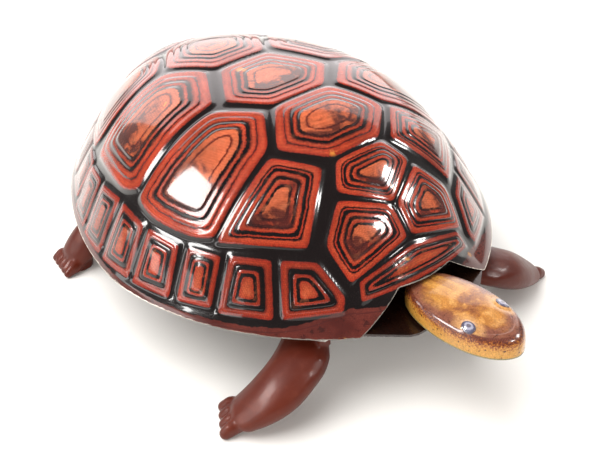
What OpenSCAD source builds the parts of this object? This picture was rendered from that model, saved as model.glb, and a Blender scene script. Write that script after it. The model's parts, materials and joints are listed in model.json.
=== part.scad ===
// Clockwork tin tortoise: pressed tin shell on a flat base plate, spring motor
// between two plates, drive wheels under the belly, and a sliding walking frame
// that swings four moulded legs and the head.
// The head points towards -Y, the tortoise's left side is +X, up is +Z.
// The origin is on the floor, under the middle of the whole toy.

/* [Shell] */
// Half width of the shell at its rim
shell_half_w = 43.55; // [43.2:0.05:44]
// Length of the shell ahead of its widest line
shell_front = 53.5; // [53:0.1:54]
// Length of the shell behind its widest line
shell_back = 64.5; // [64:0.1:65.2]
// Y position of the widest line
shell_mid_y = 3.5; // [3.3:0.1:3.7]
// Height of the shell's rim above the floor
rim_z = 17.5; // [17.3:0.05:17.55]
// Rise of the dome above its rim
dome_h = 31; // [30.6:0.1:34]
// Thickness of the pressed tin shell
shell_t = 0.5; // [0.4:0.05:0.6]
// Height of the neck arch above the rim
arch_h = 7; // [6.5:0.1:7.5]
// Half width of the neck arch at the rim
arch_w = 16; // [15.5:0.1:16.5]
// Half width of the flat top of the neck arch
arch_top = 7; // [6:0.1:8]

/* [Base plate] */
// Height of the underside of the base plate
plate_z = 17.6; // [17.6:0.05:17.7]
// Thickness of the base plate
plate_t = 0.5; // [0.4:0.05:0.5]
// How far the tongue under the neck reaches forward
tongue_y = 51.2; // [50.5:0.1:51.5]

/* [Head] */
// Distance of the head pivot in front of the middle
neck_y = 46; // [46:0.05:46.1]
// Length of the head ahead of its pivot
head_front = 22.5; // [22:0.1:22.6]
// Length of the head behind its pivot
head_rear = 5; // [4.6:0.1:5]
// Half width of the head
head_hw = 7; // [6.6:0.1:7.2]
// Height of the top of the head
head_top = 24.3; // [24:0.1:24.4]

/* [Legs] */
// Sideways distance of the front leg pivots
front_x = 19; // [18.9:0.05:19.1]
// Distance of the front leg pivots in front of the middle
front_y = 31; // [30.9:0.05:31.1]
// Sideways distance of the rear leg pivots
rear_x = 22; // [21.9:0.05:22]
// Distance of the rear leg pivots behind the middle
rear_y = 28; // [27.9:0.05:28]
// Length of the lever between each pivot and its drive pin
lever = 6.5; // [6.4:0.05:6.6]
// Angle of the legs from mid stride, as the toy stands
rest_deg = 8.75; // [8:0.25:9]
// Length of the lever between the head's pivot and its drive pin
head_lever = 9; // [8.9:0.05:9.1]

/* [Motor] */
// Radius of the drive wheels over their tyres
wheel_r = 8.2; // [8:0.05:8.2]
// Tooth module of the clockwork wheels
mod = 0.8; // [0.8]
// Teeth of the great wheel
great_n = 24; // [24]
// Leaves of the intermediate pinion
inter_p = 8; // [8]
// Teeth of the intermediate wheel
inter_n = 26; // [26]
// Leaves of the drive pinion
drive_p = 10; // [10]
// Leaves of the governor pinion
gov_p = 7; // [7]
// Half distance between the inner faces of the motor plates
frame_half = 9.6; // [9.6]
// Thickness of the motor plates
frame_t = 0.8; // [0.7:0.05:0.8]
// Turns of the mainspring
spring_turns = 5; // [4:1:6]

/* [Hidden] */
$fn = 48;

// dome exponents: plan outline, profile, crown
dp = 1.79;
dq = 3.29;
dk = 0.936;
plate_top = plate_z + plate_t;
// walking frame
wf_z = 16.4;
wf_t = 0.8;
s0 = -lever * sin(rest_deg);
head_deg = asin(-s0 / head_lever);
travel_lo = -0.475;
travel_hi = 2.475;
// motor shafts, as (y, z) in the middle plane
B = [19.5, 20.2];
dAB = mod * (great_n + inter_p) / 2;
dBC = mod * (inter_n + drive_p) / 2;
dBD = mod * (inter_n + gov_p) / 2;
Az = 27;
A = [B[0] + sqrt(pow(dAB, 2) - pow(Az - B[1], 2)), Az];
C = [B[0] - sqrt(pow(dBC, 2) - pow(B[1] - wheel_r, 2)), wheel_r];
D = [B[0] - 11, B[1] + sqrt(pow(dBD, 2) - 121)];
E = [D[0], D[1] + 7.8];
aAB = atan2(B[1] - A[1], B[0] - A[0]);
aBC = atan2(C[1] - B[1], C[0] - B[0]);
aBD = atan2(D[1] - B[1], D[0] - B[0]);
pillars = [[41.8, 22], [19, 36], [3.9, 21.2]];

// ---------- dome ----------
function gsup(a) = pow(pow(abs(cos(a)), dp) + pow(abs(sin(a)), dp), -1 / dp);
function rim_at(a, rho, w, f, k) = [w * rho * gsup(a) * cos(a),
  shell_mid_y + (sin(a) < 0 ? f : k) * rho * gsup(a) * sin(a)];
function dome_z(rho, h) = rim_z + h * pow(max(0, 1 - pow(rho, dq)), 1 / dk);
function rho_low(a) = let (x = abs(rim_at(a, 1, shell_half_w, shell_front, shell_back)[0]),
    up = sin(a) < 0 ? arch_h * min(1, max(0, (arch_w - x) / (arch_w - arch_top))) : 0)
  pow(1 - pow(up / dome_h, dk), 1 / dq);
function dome_rings(w, f, k, h, n, m) = [for (i = [0:m - 1]) [for (j = [0:n - 1])
  let (a = 360 * j / n, rho = rho_low(a) * (1 - i / m), p = rim_at(a, rho, w, f, k))
  [p[0], p[1], dome_z(rho, h)]]];

// closed thin cup between an outer and an inner stack of rings, each ending in one top point
module cup(outer, otop, inner, itop) {
  m = len(outer);
  n = len(outer[0]);
  pts = concat([for (r = outer) each r], [otop], [for (r = inner) each r], [itop]);
  q = m * n + 1;
  polyhedron(points = pts, faces = concat(
    [for (i = [0:m - 2], j = [0:n - 1]) let (e = (j + 1) % n) each
      [[i * n + j, (i + 1) * n + j, (i + 1) * n + e], [i * n + j, (i + 1) * n + e, i * n + e]]],
    [for (j = [0:n - 1]) [(m - 1) * n + j, m * n, (m - 1) * n + (j + 1) % n]],
    [for (i = [0:m - 2], j = [0:n - 1]) let (e = (j + 1) % n) each
      [[q + i * n + j, q + (i + 1) * n + e, q + (i + 1) * n + j], [q + i * n + j, q + i * n + e, q + (i + 1) * n + e]]],
    [for (j = [0:n - 1]) [q + (m - 1) * n + j, q + (m - 1) * n + (j + 1) % n, q + m * n]],
    [for (j = [0:n - 1]) let (e = (j + 1) % n) each [[j, e, q + e], [j, q + e, q + j]]]), convexity = 6);
}

// ---------- wheelwork ----------
// turns a drawing in the YZ plane into a plate that starts at x0
module across(x0, t) translate([x0, 0, 0]) rotate([90, 0, 90]) linear_extrude(t) children();
module rod(p, x0, x1, r) translate([x0, p[0], p[1]]) rotate([0, 90, 0]) cylinder(h = x1 - x0, r = r);

// outline of a clock wheel: straight flanks and a pointed crown; q is the share of the pitch that a tooth fills
function wheel_pts(n, add, ded, q) = let (rp = mod * n / 2, s = 180 / n)
  [for (i = [0:n - 1]) each let (c = 2 * s * i)
    [for (v = [[rp - ded, -q * 1.06], [rp, -q], [rp + add * 0.6, -q * 0.62], [rp + add, -q * 0.2],
               [rp + add, q * 0.2], [rp + add * 0.6, q * 0.62], [rp, q], [rp - ded, q * 1.06]])
      v[0] * [cos(c + s * v[1]), sin(c + s * v[1])]]];
module wheel2d(n, turn = 0) rotate(turn) polygon(wheel_pts(n, 0.8 * mod, 1.15 * mod, 0.40));
module pinion2d(n, turn = 0) rotate(turn) polygon(wheel_pts(n, 0.62 * mod, 1.25 * mod, 0.30));

inter_turn = aBC;
gov_off = (aBD - aBC) - floor((aBD - aBC) / (360 / inter_n) + 0.5) * (360 / inter_n);

module motor_plate_2d() {
  difference() {
    polygon([[1.5, plate_top], [6.6, plate_top], [6.6, 7.2], [9.4, 4.6], [13.6, 4.6], [16, 7.2], [16, plate_top],
      [44.5, plate_top], [44.5, 25], [34, 37.2], [22, 39.5], [5, 39.5], [1.5, 32]]);
    translate(A) circle(r = 1.26);
    translate(B) circle(r = 0.85);
    translate(C) circle(r = 1.06);
    translate(D) circle(r = 0.75);
    translate(E) circle(r = 0.75);
    for (p = pillars) translate(p) circle(r = 0.8);
    // lightening windows
    translate([34, 21]) square([4, 3], center = true);
    translate([29.5, 35.2]) square([5, 1.6], center = true);
  }
}
module motor_plate_right() color("silver") across(-frame_half - frame_t, frame_t) motor_plate_2d();
module motor_plate_left() color("silver") across(frame_half, frame_t) motor_plate_2d();
module plate_pillars() color("silver") for (p = pillars) {
  rod(p, -frame_half, frame_half, 1.2);
  rod(p, -frame_half - frame_t - 0.5, frame_half + frame_t + 0.5, 0.8);
}

module winding_arbor() color("silver") {
  rod(A, -frame_half - frame_t - 0.4, 36, 1.2);
  rod(A, frame_half - 0.9, frame_half - 0.15, 2);
}
module winding_key() color("gold") difference() {
  union() {
    rod(A, 28.5, 38.6, 2.2);
    translate([40.4, A[0], A[1] - 0.5]) linear_extrude(1) {
      for (s = [-1, 1]) translate([0, s * 3.2]) circle(r = 3);
      translate([-2.8, -3]) square([2.8, 6]);
    }
  }
  rod(A, 28, 36, 1.2);
  for (s = [-1, 1]) translate([40.4, A[0] + s * 3.3, A[1] - 2]) cylinder(h = 4, r = 1.4);
}
module ratchet_wheel() color("silver") across(-7.25, 1) translate(A) difference() {
  polygon([for (i = [0:13]) each let (c = 360 * i / 14)
    [4.2 * [cos(c), sin(c)], 3.4 * [cos(c + 3), sin(c + 3)]]]);
  circle(r = 1.2);
}
module mainspring() color("dimgray") across(-5.2, 9.6) translate(A) let (
    n = 26 * spring_turns, r0 = 1.7, r1 = 8.6, t = 0.17, e = atan2(pillars[0][1] - A[1], pillars[0][0] - A[0]),
    d = norm(pillars[0] - A))
  polygon(concat(
    [for (i = [0:n - 1]) let (a = e - 360 * spring_turns * (1 - i / n), r = r0 + (r1 - r0) * i / n) (r + t) * [cos(a), sin(a)]],
    [(r1 + t) * [cos(e - 1.4), sin(e - 1.4)], (d - 1.35) * [cos(e - 1), sin(e - 1)], (d - 1.35) * [cos(e + 1), sin(e + 1)], (r1 - t) * [cos(e + 1.4), sin(e + 1.4)]],
    [for (i = [n - 1:-1:0]) let (a = e - 360 * spring_turns * (1 - i / n), r = r0 + (r1 - r0) * i / n) (r - t) * [cos(a), sin(a)]]));

module great_wheel() color("gold") {
  across(-8.6, 1.2) translate(A) difference() {
    wheel2d(great_n, aAB);
    circle(r = 1.27);
    for (a = [45:90:315]) rotate(a + 12) translate([5.8, 0]) circle(r = 1.5);
  }
  across(-7.5, 1.2) translate(A) translate([7, 0]) circle(r = 0.7);
}
module click() color("silver") across(-7.3, 0.9) translate(A) difference() {
  polygon([[7.9, 0.3], [6.9, 1.05], [5.9, 0.2], [2.6, -3.9], [3.0, -4.35], [7.3, -1.05]]);
  translate([7, 0]) circle(r = 0.76);
}
module click_spring() color("dimgray") across(-7.4, 0.8) translate(A)
  polygon(concat([for (a = [-22:6:110]) 8.2 * [cos(a), sin(a)]], [for (a = [110:-6:-22]) 8.55 * [cos(a), sin(a)]]));

module intermediate_arbor() color("silver") {
  rod(B, -frame_half - frame_t - 0.4, frame_half + frame_t + 0.4, 0.8);
  across(-9.2, 1.85) translate(B) pinion2d(inter_p, aAB + 180 + 180 / inter_p);
  rod(B, -7.4, 6.4, 1.3);
}
module intermediate_gear() color("gold") across(6.4, 1.2) translate(B) difference() {
  wheel2d(inter_n, inter_turn);
  circle(r = 0.8);
  for (a = [0:90:270]) rotate(a + 20) translate([5.9, 0]) circle(r = 2.1);
}

module drive_axle() color("silver") {
  rod(C, -16.9, 16.9, 1);
  across(5.9, 2.3) translate(C) pinion2d(drive_p, aBC + 180 + 180 / drive_p);
  for (s = [-1, 1]) rod(C, s * 11.5 - 0.6, s * 11.5 + 0.6, 1.9);
}
cam_x = -1;
cam_tilt = 14;
cam_phase = acos(-s0 / (6 * tan(cam_tilt)));
module wobble_cam() color("silver") translate([cam_x, C[0], C[1]]) rotate([cam_phase, 0, 0]) difference() {
  union() {
    rotate([0, 0, cam_tilt]) rotate([0, 90, 0]) cylinder(h = 1.2, r = 6, center = true);
    rotate([0, 90, 0]) cylinder(h = 4.6, r = 2, center = true);
  }
  rotate([0, 90, 0]) cylinder(h = 8, r = 1, center = true);
}
module wheel_hub(x0) color("firebrick") translate([x0, C[0], C[1]]) rotate([0, 90, 0]) rotate_extrude()
  polygon([[1, 0], [2.6, 0], [2.6, 0.9], [4.6, 0.9], [4.6, 0], [wheel_r - 1.9, 0], [wheel_r - 1.9, 3.6],
    [4.6, 3.6], [4.6, 2.7], [2.6, 2.7], [2.6, 3.6], [1, 3.6]]);
module tyre(x0) color("dimgray") translate([x0, C[0], C[1]]) rotate([0, 90, 0]) rotate_extrude()
  polygon([[wheel_r - 1.9, 0], [wheel_r - 0.5, 0], [wheel_r, 0.6], [wheel_r, 3], [wheel_r - 0.5, 3.6], [wheel_r - 1.9, 3.6]]);
module drive_wheel_right() wheel_hub(-12.3 - 3.6);
module drive_wheel_left() wheel_hub(12.3);
module tyre_right() tyre(-12.3 - 3.6);
module tyre_left() tyre(12.3);

module governor_arbor() color("silver") {
  rod(D, -frame_half - frame_t - 0.4, frame_half + frame_t + 0.4, 0.7);
  across(6, 2) translate(D) pinion2d(gov_p, aBD + 180 + 180 / gov_p + gov_off * inter_n / gov_p);
}
module star_wheel() color("gold") across(2.5, 1) translate(D) difference() {
  polygon([for (i = [0:11]) each let (c = 30 * i) [4.3 * [cos(c), sin(c)], 2.9 * [cos(c + 15), sin(c + 15)]]]);
  circle(r = 0.7);
}
module pallet() color("silver") across(2.4, 1.2) difference() {
  union() {
    translate(D) polygon(concat([for (a = [-8:7:188]) 6.3 * [cos(a), sin(a)]], [for (a = [188:-7:-8]) 5.3 * [cos(a), sin(a)]]));
    translate(E + [0, -0.6]) square([3.4, 3.6], center = true);
  }
  translate(E) circle(r = 0.7);
}
module pallet_arbor() color("silver") rod(E, -frame_half - frame_t - 0.4, frame_half + frame_t + 0.4, 0.7);

// ---------- casing ----------
module shell() color("sienna") difference() {
  union() {
    cup(dome_rings(shell_half_w, shell_front, shell_back, dome_h, 108, 16), [0, shell_mid_y, rim_z + dome_h],
      dome_rings(shell_half_w - shell_t, shell_front - shell_t, shell_back - shell_t, dome_h - shell_t, 108, 16),
      [0, shell_mid_y, rim_z + dome_h - shell_t]);
    // tabs folded under the base plate
    for (a = [0, 45, 90, 135, 180, 216, 324]) {
      p = rim_at(a, 1, shell_half_w, shell_front, shell_back);
      v = rim_at(a + 1, 1, shell_half_w, shell_front, shell_back) - rim_at(a - 1, 1, shell_half_w, shell_front, shell_back);
      translate([p[0], p[1], rim_z - 0.2]) rotate(atan2(v[1], v[0])) translate([-2.2, 0.3, 0]) cube([4.4, 4.4, 0.28]);
    }
  }
  // winding hole on the left flank
  rod(A, 24, 46, 2.7);
}

function plate_outline() = concat(
  [for (j = [0:95]) let (a = 360 * j / 96, p = rim_at(a, 1, shell_half_w - 0.95, shell_front - 0.95, shell_back - 0.95))
    if (p[1] > 0 || abs(p[0]) > arch_w + 0.5) p]);
function plate_front() = [[-arch_w + 0.2, -44.4], [-8.8, -tongue_y + 0.6], [-7.2, -tongue_y], [7.2, -tongue_y], [8.8, -tongue_y + 0.6], [arch_w - 0.2, -44.4]];
module slot_x(x, y, r) translate([x, y]) {
  square([travel_hi - travel_lo, 2 * r], center = true);
  for (s = [-1, 1]) translate([s * (travel_hi - travel_lo) / 2, 0]) circle(r = r);
}
guides = [[-11, -37.5], [11, -37.5], [-12.5, 36.6], [12.5, 36.6]];
leg_pivots = [[-front_x, -front_y], [front_x, -front_y], [-rear_x, rear_y], [rear_x, rear_y]];
module base_plate() color("dimgray") {
  translate([0, 0, plate_z]) linear_extrude(plate_t) difference() {
    // outline in order: right front corner, tongue, left side, back
    polygon(let (o = plate_outline(), k = [for (i = [0:len(o) - 1]) if (o[i][1] < 0 && o[i][0] < 0) i], e = max(k))
      concat([for (i = [0:e]) o[i]], plate_front(), [for (i = [e + 1:1:len(o) - 1]) o[i]]));
    for (p = leg_pivots) translate(p) circle(r = 1.5);
    for (p = guides) translate(p) circle(r = 1.2);
    translate([0, -neck_y]) circle(r = 1.2);
    // slot for the head's drive pin
    translate([-2.7, -neck_y + head_lever - 1.4]) square([5.4, 2.7]);
    // slots for the motor lugs and for the wheels that reach through
    for (s = [-1, 1]) translate([s * (frame_half + frame_t / 2), 11.3]) square([frame_t + 0.3, 9.8], center = true);
    translate([-9.4, 14.8]) square([2.6, 21]);
    translate([5.7, 7.6]) square([2.7, 24]);
  }
}

module leg_rivets() color("silver") for (p = leg_pivots) translate(p) {
  translate([0, 0, 11.4]) cylinder(h = 0.8, r = 2.8);
  translate([0, 0, 11.6]) cylinder(h = plate_top - 11.5, r = 1.5);
  translate([0, 0, 16.2]) cylinder(h = plate_z - 16.2, r = 2.6);
  translate([0, 0, plate_top]) cylinder(h = 0.6, r = 2.6);
}
module frame_guide_rivets() color("silver") for (p = guides) translate(p) {
  translate([0, 0, 15.3]) cylinder(h = 0.8, r = 2.2);
  translate([0, 0, 15.5]) cylinder(h = plate_top - 15.4, r = 1.2);
  translate([0, 0, plate_top]) cylinder(h = 0.5, r = 2);
}

// ---------- walking frame ----------
module walking_frame() color("lightgray") {
  translate([0, 0, wf_z]) linear_extrude(wf_t) difference() {
    polygon([[21.2, -40.2], [30.5, -29], [30.5, 28], [26, 39], [-26, 39], [-30.5, 28], [-30.5, -29], [-21.2, -40.2]]);
    difference() {
      polygon([[22.2, -35], [27.5, -29], [27.5, 29.5], [25, 32.2], [18.4, 32.2], [16.6, 34.3], [-16.6, 34.3], [-18.4, 32.2],
        [-25, 32.2], [-27.5, 29.5], [-27.5, -29], [-22.2, -35]]);
      translate([cam_x + s0 - 2.3, -36]) square([4.6, C[0] - 6 - 0.4 + 36]);
    }
    for (p = guides) slot_x(p[0] + s0, p[1], 1.32);
    // slots for the leg pins and for the head pin
    for (s = [-1, 1]) {
      translate([s * front_x + s0, -front_y - lever + 0.1]) square([1.9, 2.4], center = true);
      translate([s * rear_x + s0, rear_y + lever - 0.1]) square([1.9, 2.4], center = true);
    }
    translate([s0, -neck_y + head_lever - 0.05]) square([1.9, 2.3], center = true);
  }
  // fork that the wobble cam rocks
  for (s = [-1, 1]) translate([cam_x + s0 + s * 1.65 - 0.4, C[0] - 6 - 0.4 - 1.3, 7.4]) cube([0.8, 1.3, wf_z - 7.3]);
}

// ---------- legs ----------
module pad(p, a, k) translate(p) rotate([0, 0, a]) scale(k) sphere(r = 1, $fn = 28);
// front leg about its pivot, right hand, at mid stride
module front_limb() difference() {
  union() {
    translate([0, 0, 12.3]) cylinder(h = 3.8, r = 4.4);
    hull() { pad([-0.5, -0.8, 13.9], 60, [3.8, 3.8, 1.7]); pad([-4, -7, 12], 40, [5.2, 5.2, 2.6]); }
    hull() { pad([-4, -7, 12], 40, [5.2, 5.2, 2.6]); pad([-9.8, -7.8, 7.2], 10, [4, 5.2, 2.7]); }
    hull() { pad([-9.8, -7.8, 7.2], 10, [4, 5.2, 2.7]); pad([-15.4, -5.8, 3.4], -20, [3.2, 4, 2.2]); pad([-16.4, -5, 1.2], -20, [2.4, 3.6, 1.2]); }
    hull() {
      pad([-15.4, -5.8, 3], -20, [3.2, 4, 2.2]);
      for (i = [-1.5:1:1.5]) pad([-18.6, -3.9, 1.2] + i * [1.0, 2.1, 0], -20, [1.3, 1.2, 1.4]);
    }
    for (i = [-1.5:1:1.5]) pad([-20, -3.2, 0.8] + i * [1.0, 2.3, 0], -25, [1.7, 1.0, 1.2]);
    translate([-16.8, -4.9, 0]) cylinder(h = 1.4, r = 3);
    translate([-1.4, -lever - 1.4, 13.4]) cube([2.8, lever + 1.4, 2.7]);
    translate([0, -lever, 15.9]) cylinder(h = 1.45, r = 0.8);
  }
  translate([0, 0, 10]) cylinder(h = 8, r = 1.56);
  // room under the hub for the rivet's lower head
  translate([0, 0, 4]) cylinder(h = 8.3, r = 3.1);
  translate([-40, -30, -5]) cube([60, 60, 5]);
}
// rear leg about its pivot, right hand, at mid stride
module rear_limb() difference() {
  union() {
    translate([0, 0, 12.3]) cylinder(h = 3.8, r = 4.4);
    hull() { pad([-0.8, 0.6, 13.9], 60, [3.4, 3.2, 1.7]); pad([-5.5, 3.9, 12.4], 20, [3.8, 4.2, 2.4]); }
    hull() { pad([-5.5, 3.9, 12.4], 20, [3.8, 4.2, 2.4]); pad([-11.1, 7, 8.2], 0, [3.4, 4.2, 2.6]); }
    hull() { pad([-11.1, 7, 8.2], 0, [3.4, 4.2, 2.6]); pad([-14.4, 8.6, 3.6], 0, [3.4, 4.4, 2.8]); pad([-14.4, 8, 1.2], 0, [2.6, 4.2, 1.2]); }
    hull() {
      pad([-14.4, 8.6, 3.4], 0, [3, 4.2, 2.6]);
      for (i = [-2:1:2]) pad([-17.2, 9.6, 1.5] + i * [0.4, 1.75, 0], -8, [1.2, 1.1, 1.5]);
    }
    for (i = [-2:1:2]) pad([-18.5, 10.2, 1] + i * [0.5, 1.8, 0], -12, [1.5, 0.85, 1.3]);
    translate([-14.6, 8.4, 0]) cylinder(h = 1.4, r = 3);
    translate([-1.4, 0, 13.4]) cube([2.8, lever + 1.4, 2.7]);
    translate([0, lever, 15.9]) cylinder(h = 1.45, r = 0.8);
  }
  translate([0, 0, 10]) cylinder(h = 8, r = 1.56);
  // room under the hub for the rivet's lower head
  translate([0, 0, 4]) cylinder(h = 8.3, r = 3.1);
  translate([-40, -30, -5]) cube([60, 60, 5]);
}
module front_right_leg() color("saddlebrown") translate([-front_x, -front_y, 0]) rotate(-rest_deg) front_limb();
module front_left_leg() color("saddlebrown") translate([front_x, -front_y, 0]) rotate(-rest_deg) mirror([1, 0, 0]) front_limb();
module rear_right_leg() color("saddlebrown") translate([-rear_x, rear_y, 0]) rotate(rest_deg) rear_limb();
module rear_left_leg() color("saddlebrown") translate([rear_x, rear_y, 0]) rotate(rest_deg) mirror([1, 0, 0]) rear_limb();

// ---------- head ----------
lev_z = plate_top + 0.2;
pan_z = lev_z + 0.6;
function head_ring(z, k, g) = [for (j = [0:43]) let (a = 360 * j / 44, L = (head_front + head_rear) / 2 - g,
    c = (head_rear - head_front) / 2, sx = sign(cos(a)) * pow(abs(cos(a)), 0.9), sy = sign(sin(a)) * pow(abs(sin(a)), 0.95))
  [(head_hw - g) * k * sx, c + L * k * sy, z]];
function head_mid() = (head_rear - head_front) / 2;
head_prof = [[pan_z, 1], [pan_z + 1.6, 1], [pan_z + 2.9, 0.985], [pan_z + 3.9, 0.93], [head_top - 0.55, 0.82], [head_top - 0.15, 0.55]];
module head_at() translate([0, -neck_y, 0]) rotate(head_deg - 1.3) children();
module head_upper() color("goldenrod") head_at()
  cup([for (v = head_prof) head_ring(v[0], v[1], 0)], [0, head_mid(), head_top],
      [for (v = head_prof) head_ring(v[0] == pan_z ? v[0] : v[0] - 0.25, v[1] , 0.5)], [0, head_mid(), head_top - 0.6]);
module head_lower() color("darkkhaki") head_at() difference() {
  translate([0, 0, pan_z]) linear_extrude(0.5) polygon([for (p = head_ring(0, 1, 0.55)) [p[0], p[1]]]);
  translate([0, 0, pan_z - 1]) cylinder(h = 3, r = 2.9);
  for (y = [-8, -15]) translate([0, y, pan_z - 1]) cylinder(h = 3, r = 0.8);
}
module neck_lever() color("silver") {
  head_at() difference() {
    translate([0, 0, lev_z]) linear_extrude(0.6) polygon([[-2.6, -17], [2.6, -17], [2.6, 2.4], [-2.6, 2.4]]);
    translate([0, 0, lev_z - 1]) cylinder(h = 3, r = 1.26);
    for (y = [-8, -15]) translate([0, y, lev_z - 1]) cylinder(h = 3, r = 0.8);
  }
  translate([0, -neck_y, 0]) rotate(head_deg) {
    translate([-1.4, 2, lev_z]) cube([2.8, head_lever - 0.6, 0.6]);
    translate([0, head_lever, wf_z - 0.1]) cylinder(h = lev_z - wf_z + 0.3, r = 0.8);
  }
}
module head_rivets() color("silver") head_at() for (y = [-8, -15]) translate([0, y, 0]) {
  translate([0, 0, lev_z]) cylinder(h = 1.1, r = 0.8);
  translate([0, 0, pan_z + 0.5]) cylinder(h = 0.4, r = 1.4);
}
module neck_rivet() color("silver") translate([0, -neck_y, 0]) {
  translate([0, 0, plate_z - 0.5]) cylinder(h = 0.5, r = 2.2);
  translate([0, 0, plate_z - 0.2]) cylinder(h = pan_z + 0.5 - plate_z, r = 1.2);
  translate([0, 0, pan_z + 0.1]) cylinder(h = 0.6, r = 2.2);
}

shell();
base_plate();
head_upper();
head_lower();
neck_lever();
head_rivets();
neck_rivet();
front_right_leg();
front_left_leg();
rear_right_leg();
rear_left_leg();
leg_rivets();
walking_frame();
frame_guide_rivets();
motor_plate_right();
motor_plate_left();
plate_pillars();
winding_arbor();
winding_key();
ratchet_wheel();
mainspring();
great_wheel();
click();
click_spring();
intermediate_arbor();
intermediate_gear();
drive_axle();
wobble_cam();
drive_wheel_right();
drive_wheel_left();
tyre_right();
tyre_left();
governor_arbor();
star_wheel();
pallet();
pallet_arbor();
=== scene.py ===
"""Clockwork tin tortoise: printed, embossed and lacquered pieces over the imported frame."""

import json
import math

import bmesh
import bpy
import numpy as np
from mathutils import Matrix, Vector


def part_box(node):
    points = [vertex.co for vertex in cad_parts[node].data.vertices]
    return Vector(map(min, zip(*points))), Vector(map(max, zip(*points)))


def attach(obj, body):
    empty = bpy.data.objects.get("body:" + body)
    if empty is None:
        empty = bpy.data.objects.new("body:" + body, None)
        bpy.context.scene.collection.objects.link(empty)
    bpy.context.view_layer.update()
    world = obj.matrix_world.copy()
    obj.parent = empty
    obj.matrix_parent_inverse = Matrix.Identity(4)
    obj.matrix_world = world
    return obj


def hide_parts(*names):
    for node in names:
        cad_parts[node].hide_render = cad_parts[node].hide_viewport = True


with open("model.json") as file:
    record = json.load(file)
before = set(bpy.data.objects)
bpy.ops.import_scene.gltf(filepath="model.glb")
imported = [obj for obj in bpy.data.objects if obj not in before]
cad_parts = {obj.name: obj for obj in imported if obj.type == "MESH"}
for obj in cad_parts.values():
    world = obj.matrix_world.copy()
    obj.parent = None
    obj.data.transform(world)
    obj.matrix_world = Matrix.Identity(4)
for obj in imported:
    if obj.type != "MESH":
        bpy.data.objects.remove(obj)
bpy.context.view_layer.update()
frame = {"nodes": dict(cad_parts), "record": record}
MM = 0.001
scene = bpy.context.scene
RNG = np.random.default_rng(7)


# ---------------------------------------------------------------- camera
def make_camera():
    c = Vector((-112.9, -168.46, 155.76))
    t = Vector((-5.633, -11.439, 17.881))
    fwd = (t - c).normalized()
    right = fwd.cross(Vector((0, 0, 1))).normalized()
    up = right.cross(fwd)
    roll = math.radians(-3.864)
    r2 = math.cos(roll) * right + math.sin(roll) * up
    u2 = -math.sin(roll) * right + math.cos(roll) * up
    data = bpy.data.cameras.new("camera")
    data.sensor_width = 36
    data.lens = 36 * 1103.68 / 600
    data.clip_start, data.clip_end = 0.01, 30
    ob = bpy.data.objects.new("camera", data)
    m = Matrix((r2, u2, -fwd)).transposed().to_4x4()
    m.translation = c * MM
    ob.matrix_world = m
    scene.collection.objects.link(ob)
    scene.camera = ob


make_camera()
scene.view_settings.view_transform = "Standard"
scene.view_settings.look = "None"


# ---------------------------------------------------------------- dome, as in the CAD
W, FRONT, BACK, MIDY, RIMZ, DH = 43.55, 53.5, 64.5, 3.5, 17.5, 31.0
DP, DQ, DK = 1.79, 3.29, 0.936


def rho_of(x, y):
    k = np.where(y < MIDY, FRONT, BACK)
    return ((np.abs(x) / W) ** DP + (np.abs(y - MIDY) / k) ** DP) ** (1 / DP)


def z_of_rho(rho):
    return RIMZ + DH * np.maximum(0, 1 - rho**DQ) ** (1 / DK)


def rho_of_h(h):
    return (1 - np.clip(h / DH, 0, 1) ** DK) ** (1 / DQ)


def rim_dir(a):
    s, c = np.sin(a), np.cos(a)
    g = (np.abs(c) ** DP + np.abs(s) ** DP) ** (-1 / DP)
    return W * g * c, np.where(s < 0, FRONT, BACK) * g * s


def dome_normal(x, y):
    """Outward unit normal of the dome at plan point x, y."""
    e = 0.15
    r = np.minimum(rho_of(x, y), 0.992)
    k = np.where(y < MIDY, FRONT, BACK)
    ax, ay = np.abs(x) / W, np.abs(y - MIDY) / k
    rr = np.maximum(r, 1e-4)
    base = np.maximum(rho_of(x, y), 1e-4) ** (1 - DP)
    drx = np.sign(x) * np.maximum(ax, 1e-6) ** (DP - 1) / W * base
    dry = np.sign(y - MIDY) * np.maximum(ay, 1e-6) ** (DP - 1) / k * base
    inner = np.maximum(1e-5, 1 - rr**DQ)
    dz = -DH / DK * inner ** (1 / DK - 1) * DQ * rr ** (DQ - 1)
    n = np.stack([-dz * drx, -dz * dry, np.ones_like(rr)], -1)
    return n / np.linalg.norm(n, axis=-1, keepdims=True) + 0 * e


def on_dome(x, y):
    r = rho_of(np.array(float(x)), np.array(float(y)))
    if r > 0.997:
        k = 0.997 / r
        x, y = x * k, MIDY + (y - MIDY) * k
        r = 0.997
    return np.array([x, y, float(z_of_rho(np.array(float(r))))])


def smoothstep(a, b, v):
    t = np.clip((v - a) / (b - a), 0, 1)
    return t * t * (3 - 2 * t)


# ---------------------------------------------------------------- printed plates of the shell
# corners on the dome, in mm, for the middle row and for the tortoise's right side
MIDDLE = [
    ("heavy", [(-5.6, -25.6), (5.6, -25.6), (8.6, -29.6), (0, -35.4), (-8.6, -29.6)]),
    ("light", [(-6.5, -7.5), (6.5, -7.5), (12.8, -16.7), (5.7, -24.2), (-5.7, -24.2), (-12.8, -16.7)]),
    ("light", [(-5.8, 13.2), (5.8, 13.2), (12.3, 1.6), (6.3, -5.8), (-6.3, -5.8), (-12.3, 1.6)]),
    ("light", [(-6.2, 15.6), (6.2, 15.6), (11.8, 26.4), (5.6, 37.0), (-5.6, 37.0), (-11.8, 26.4)]),
    ("light", [(-5.0, 39.2), (5.0, 39.2), (13.2, 46.4), (9.2, 55.4), (-9.2, 55.4), (-13.2, 46.4)]),
    ("long", [(-12.5, -40.6), (0, -41.6), (12.5, -40.6), (13.4, -42.3), (10.4, -43.5), (4.5, -44.9), (-4.5, -44.9), (-10.4, -43.5), (-13.4, -42.3)]),
]
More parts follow.
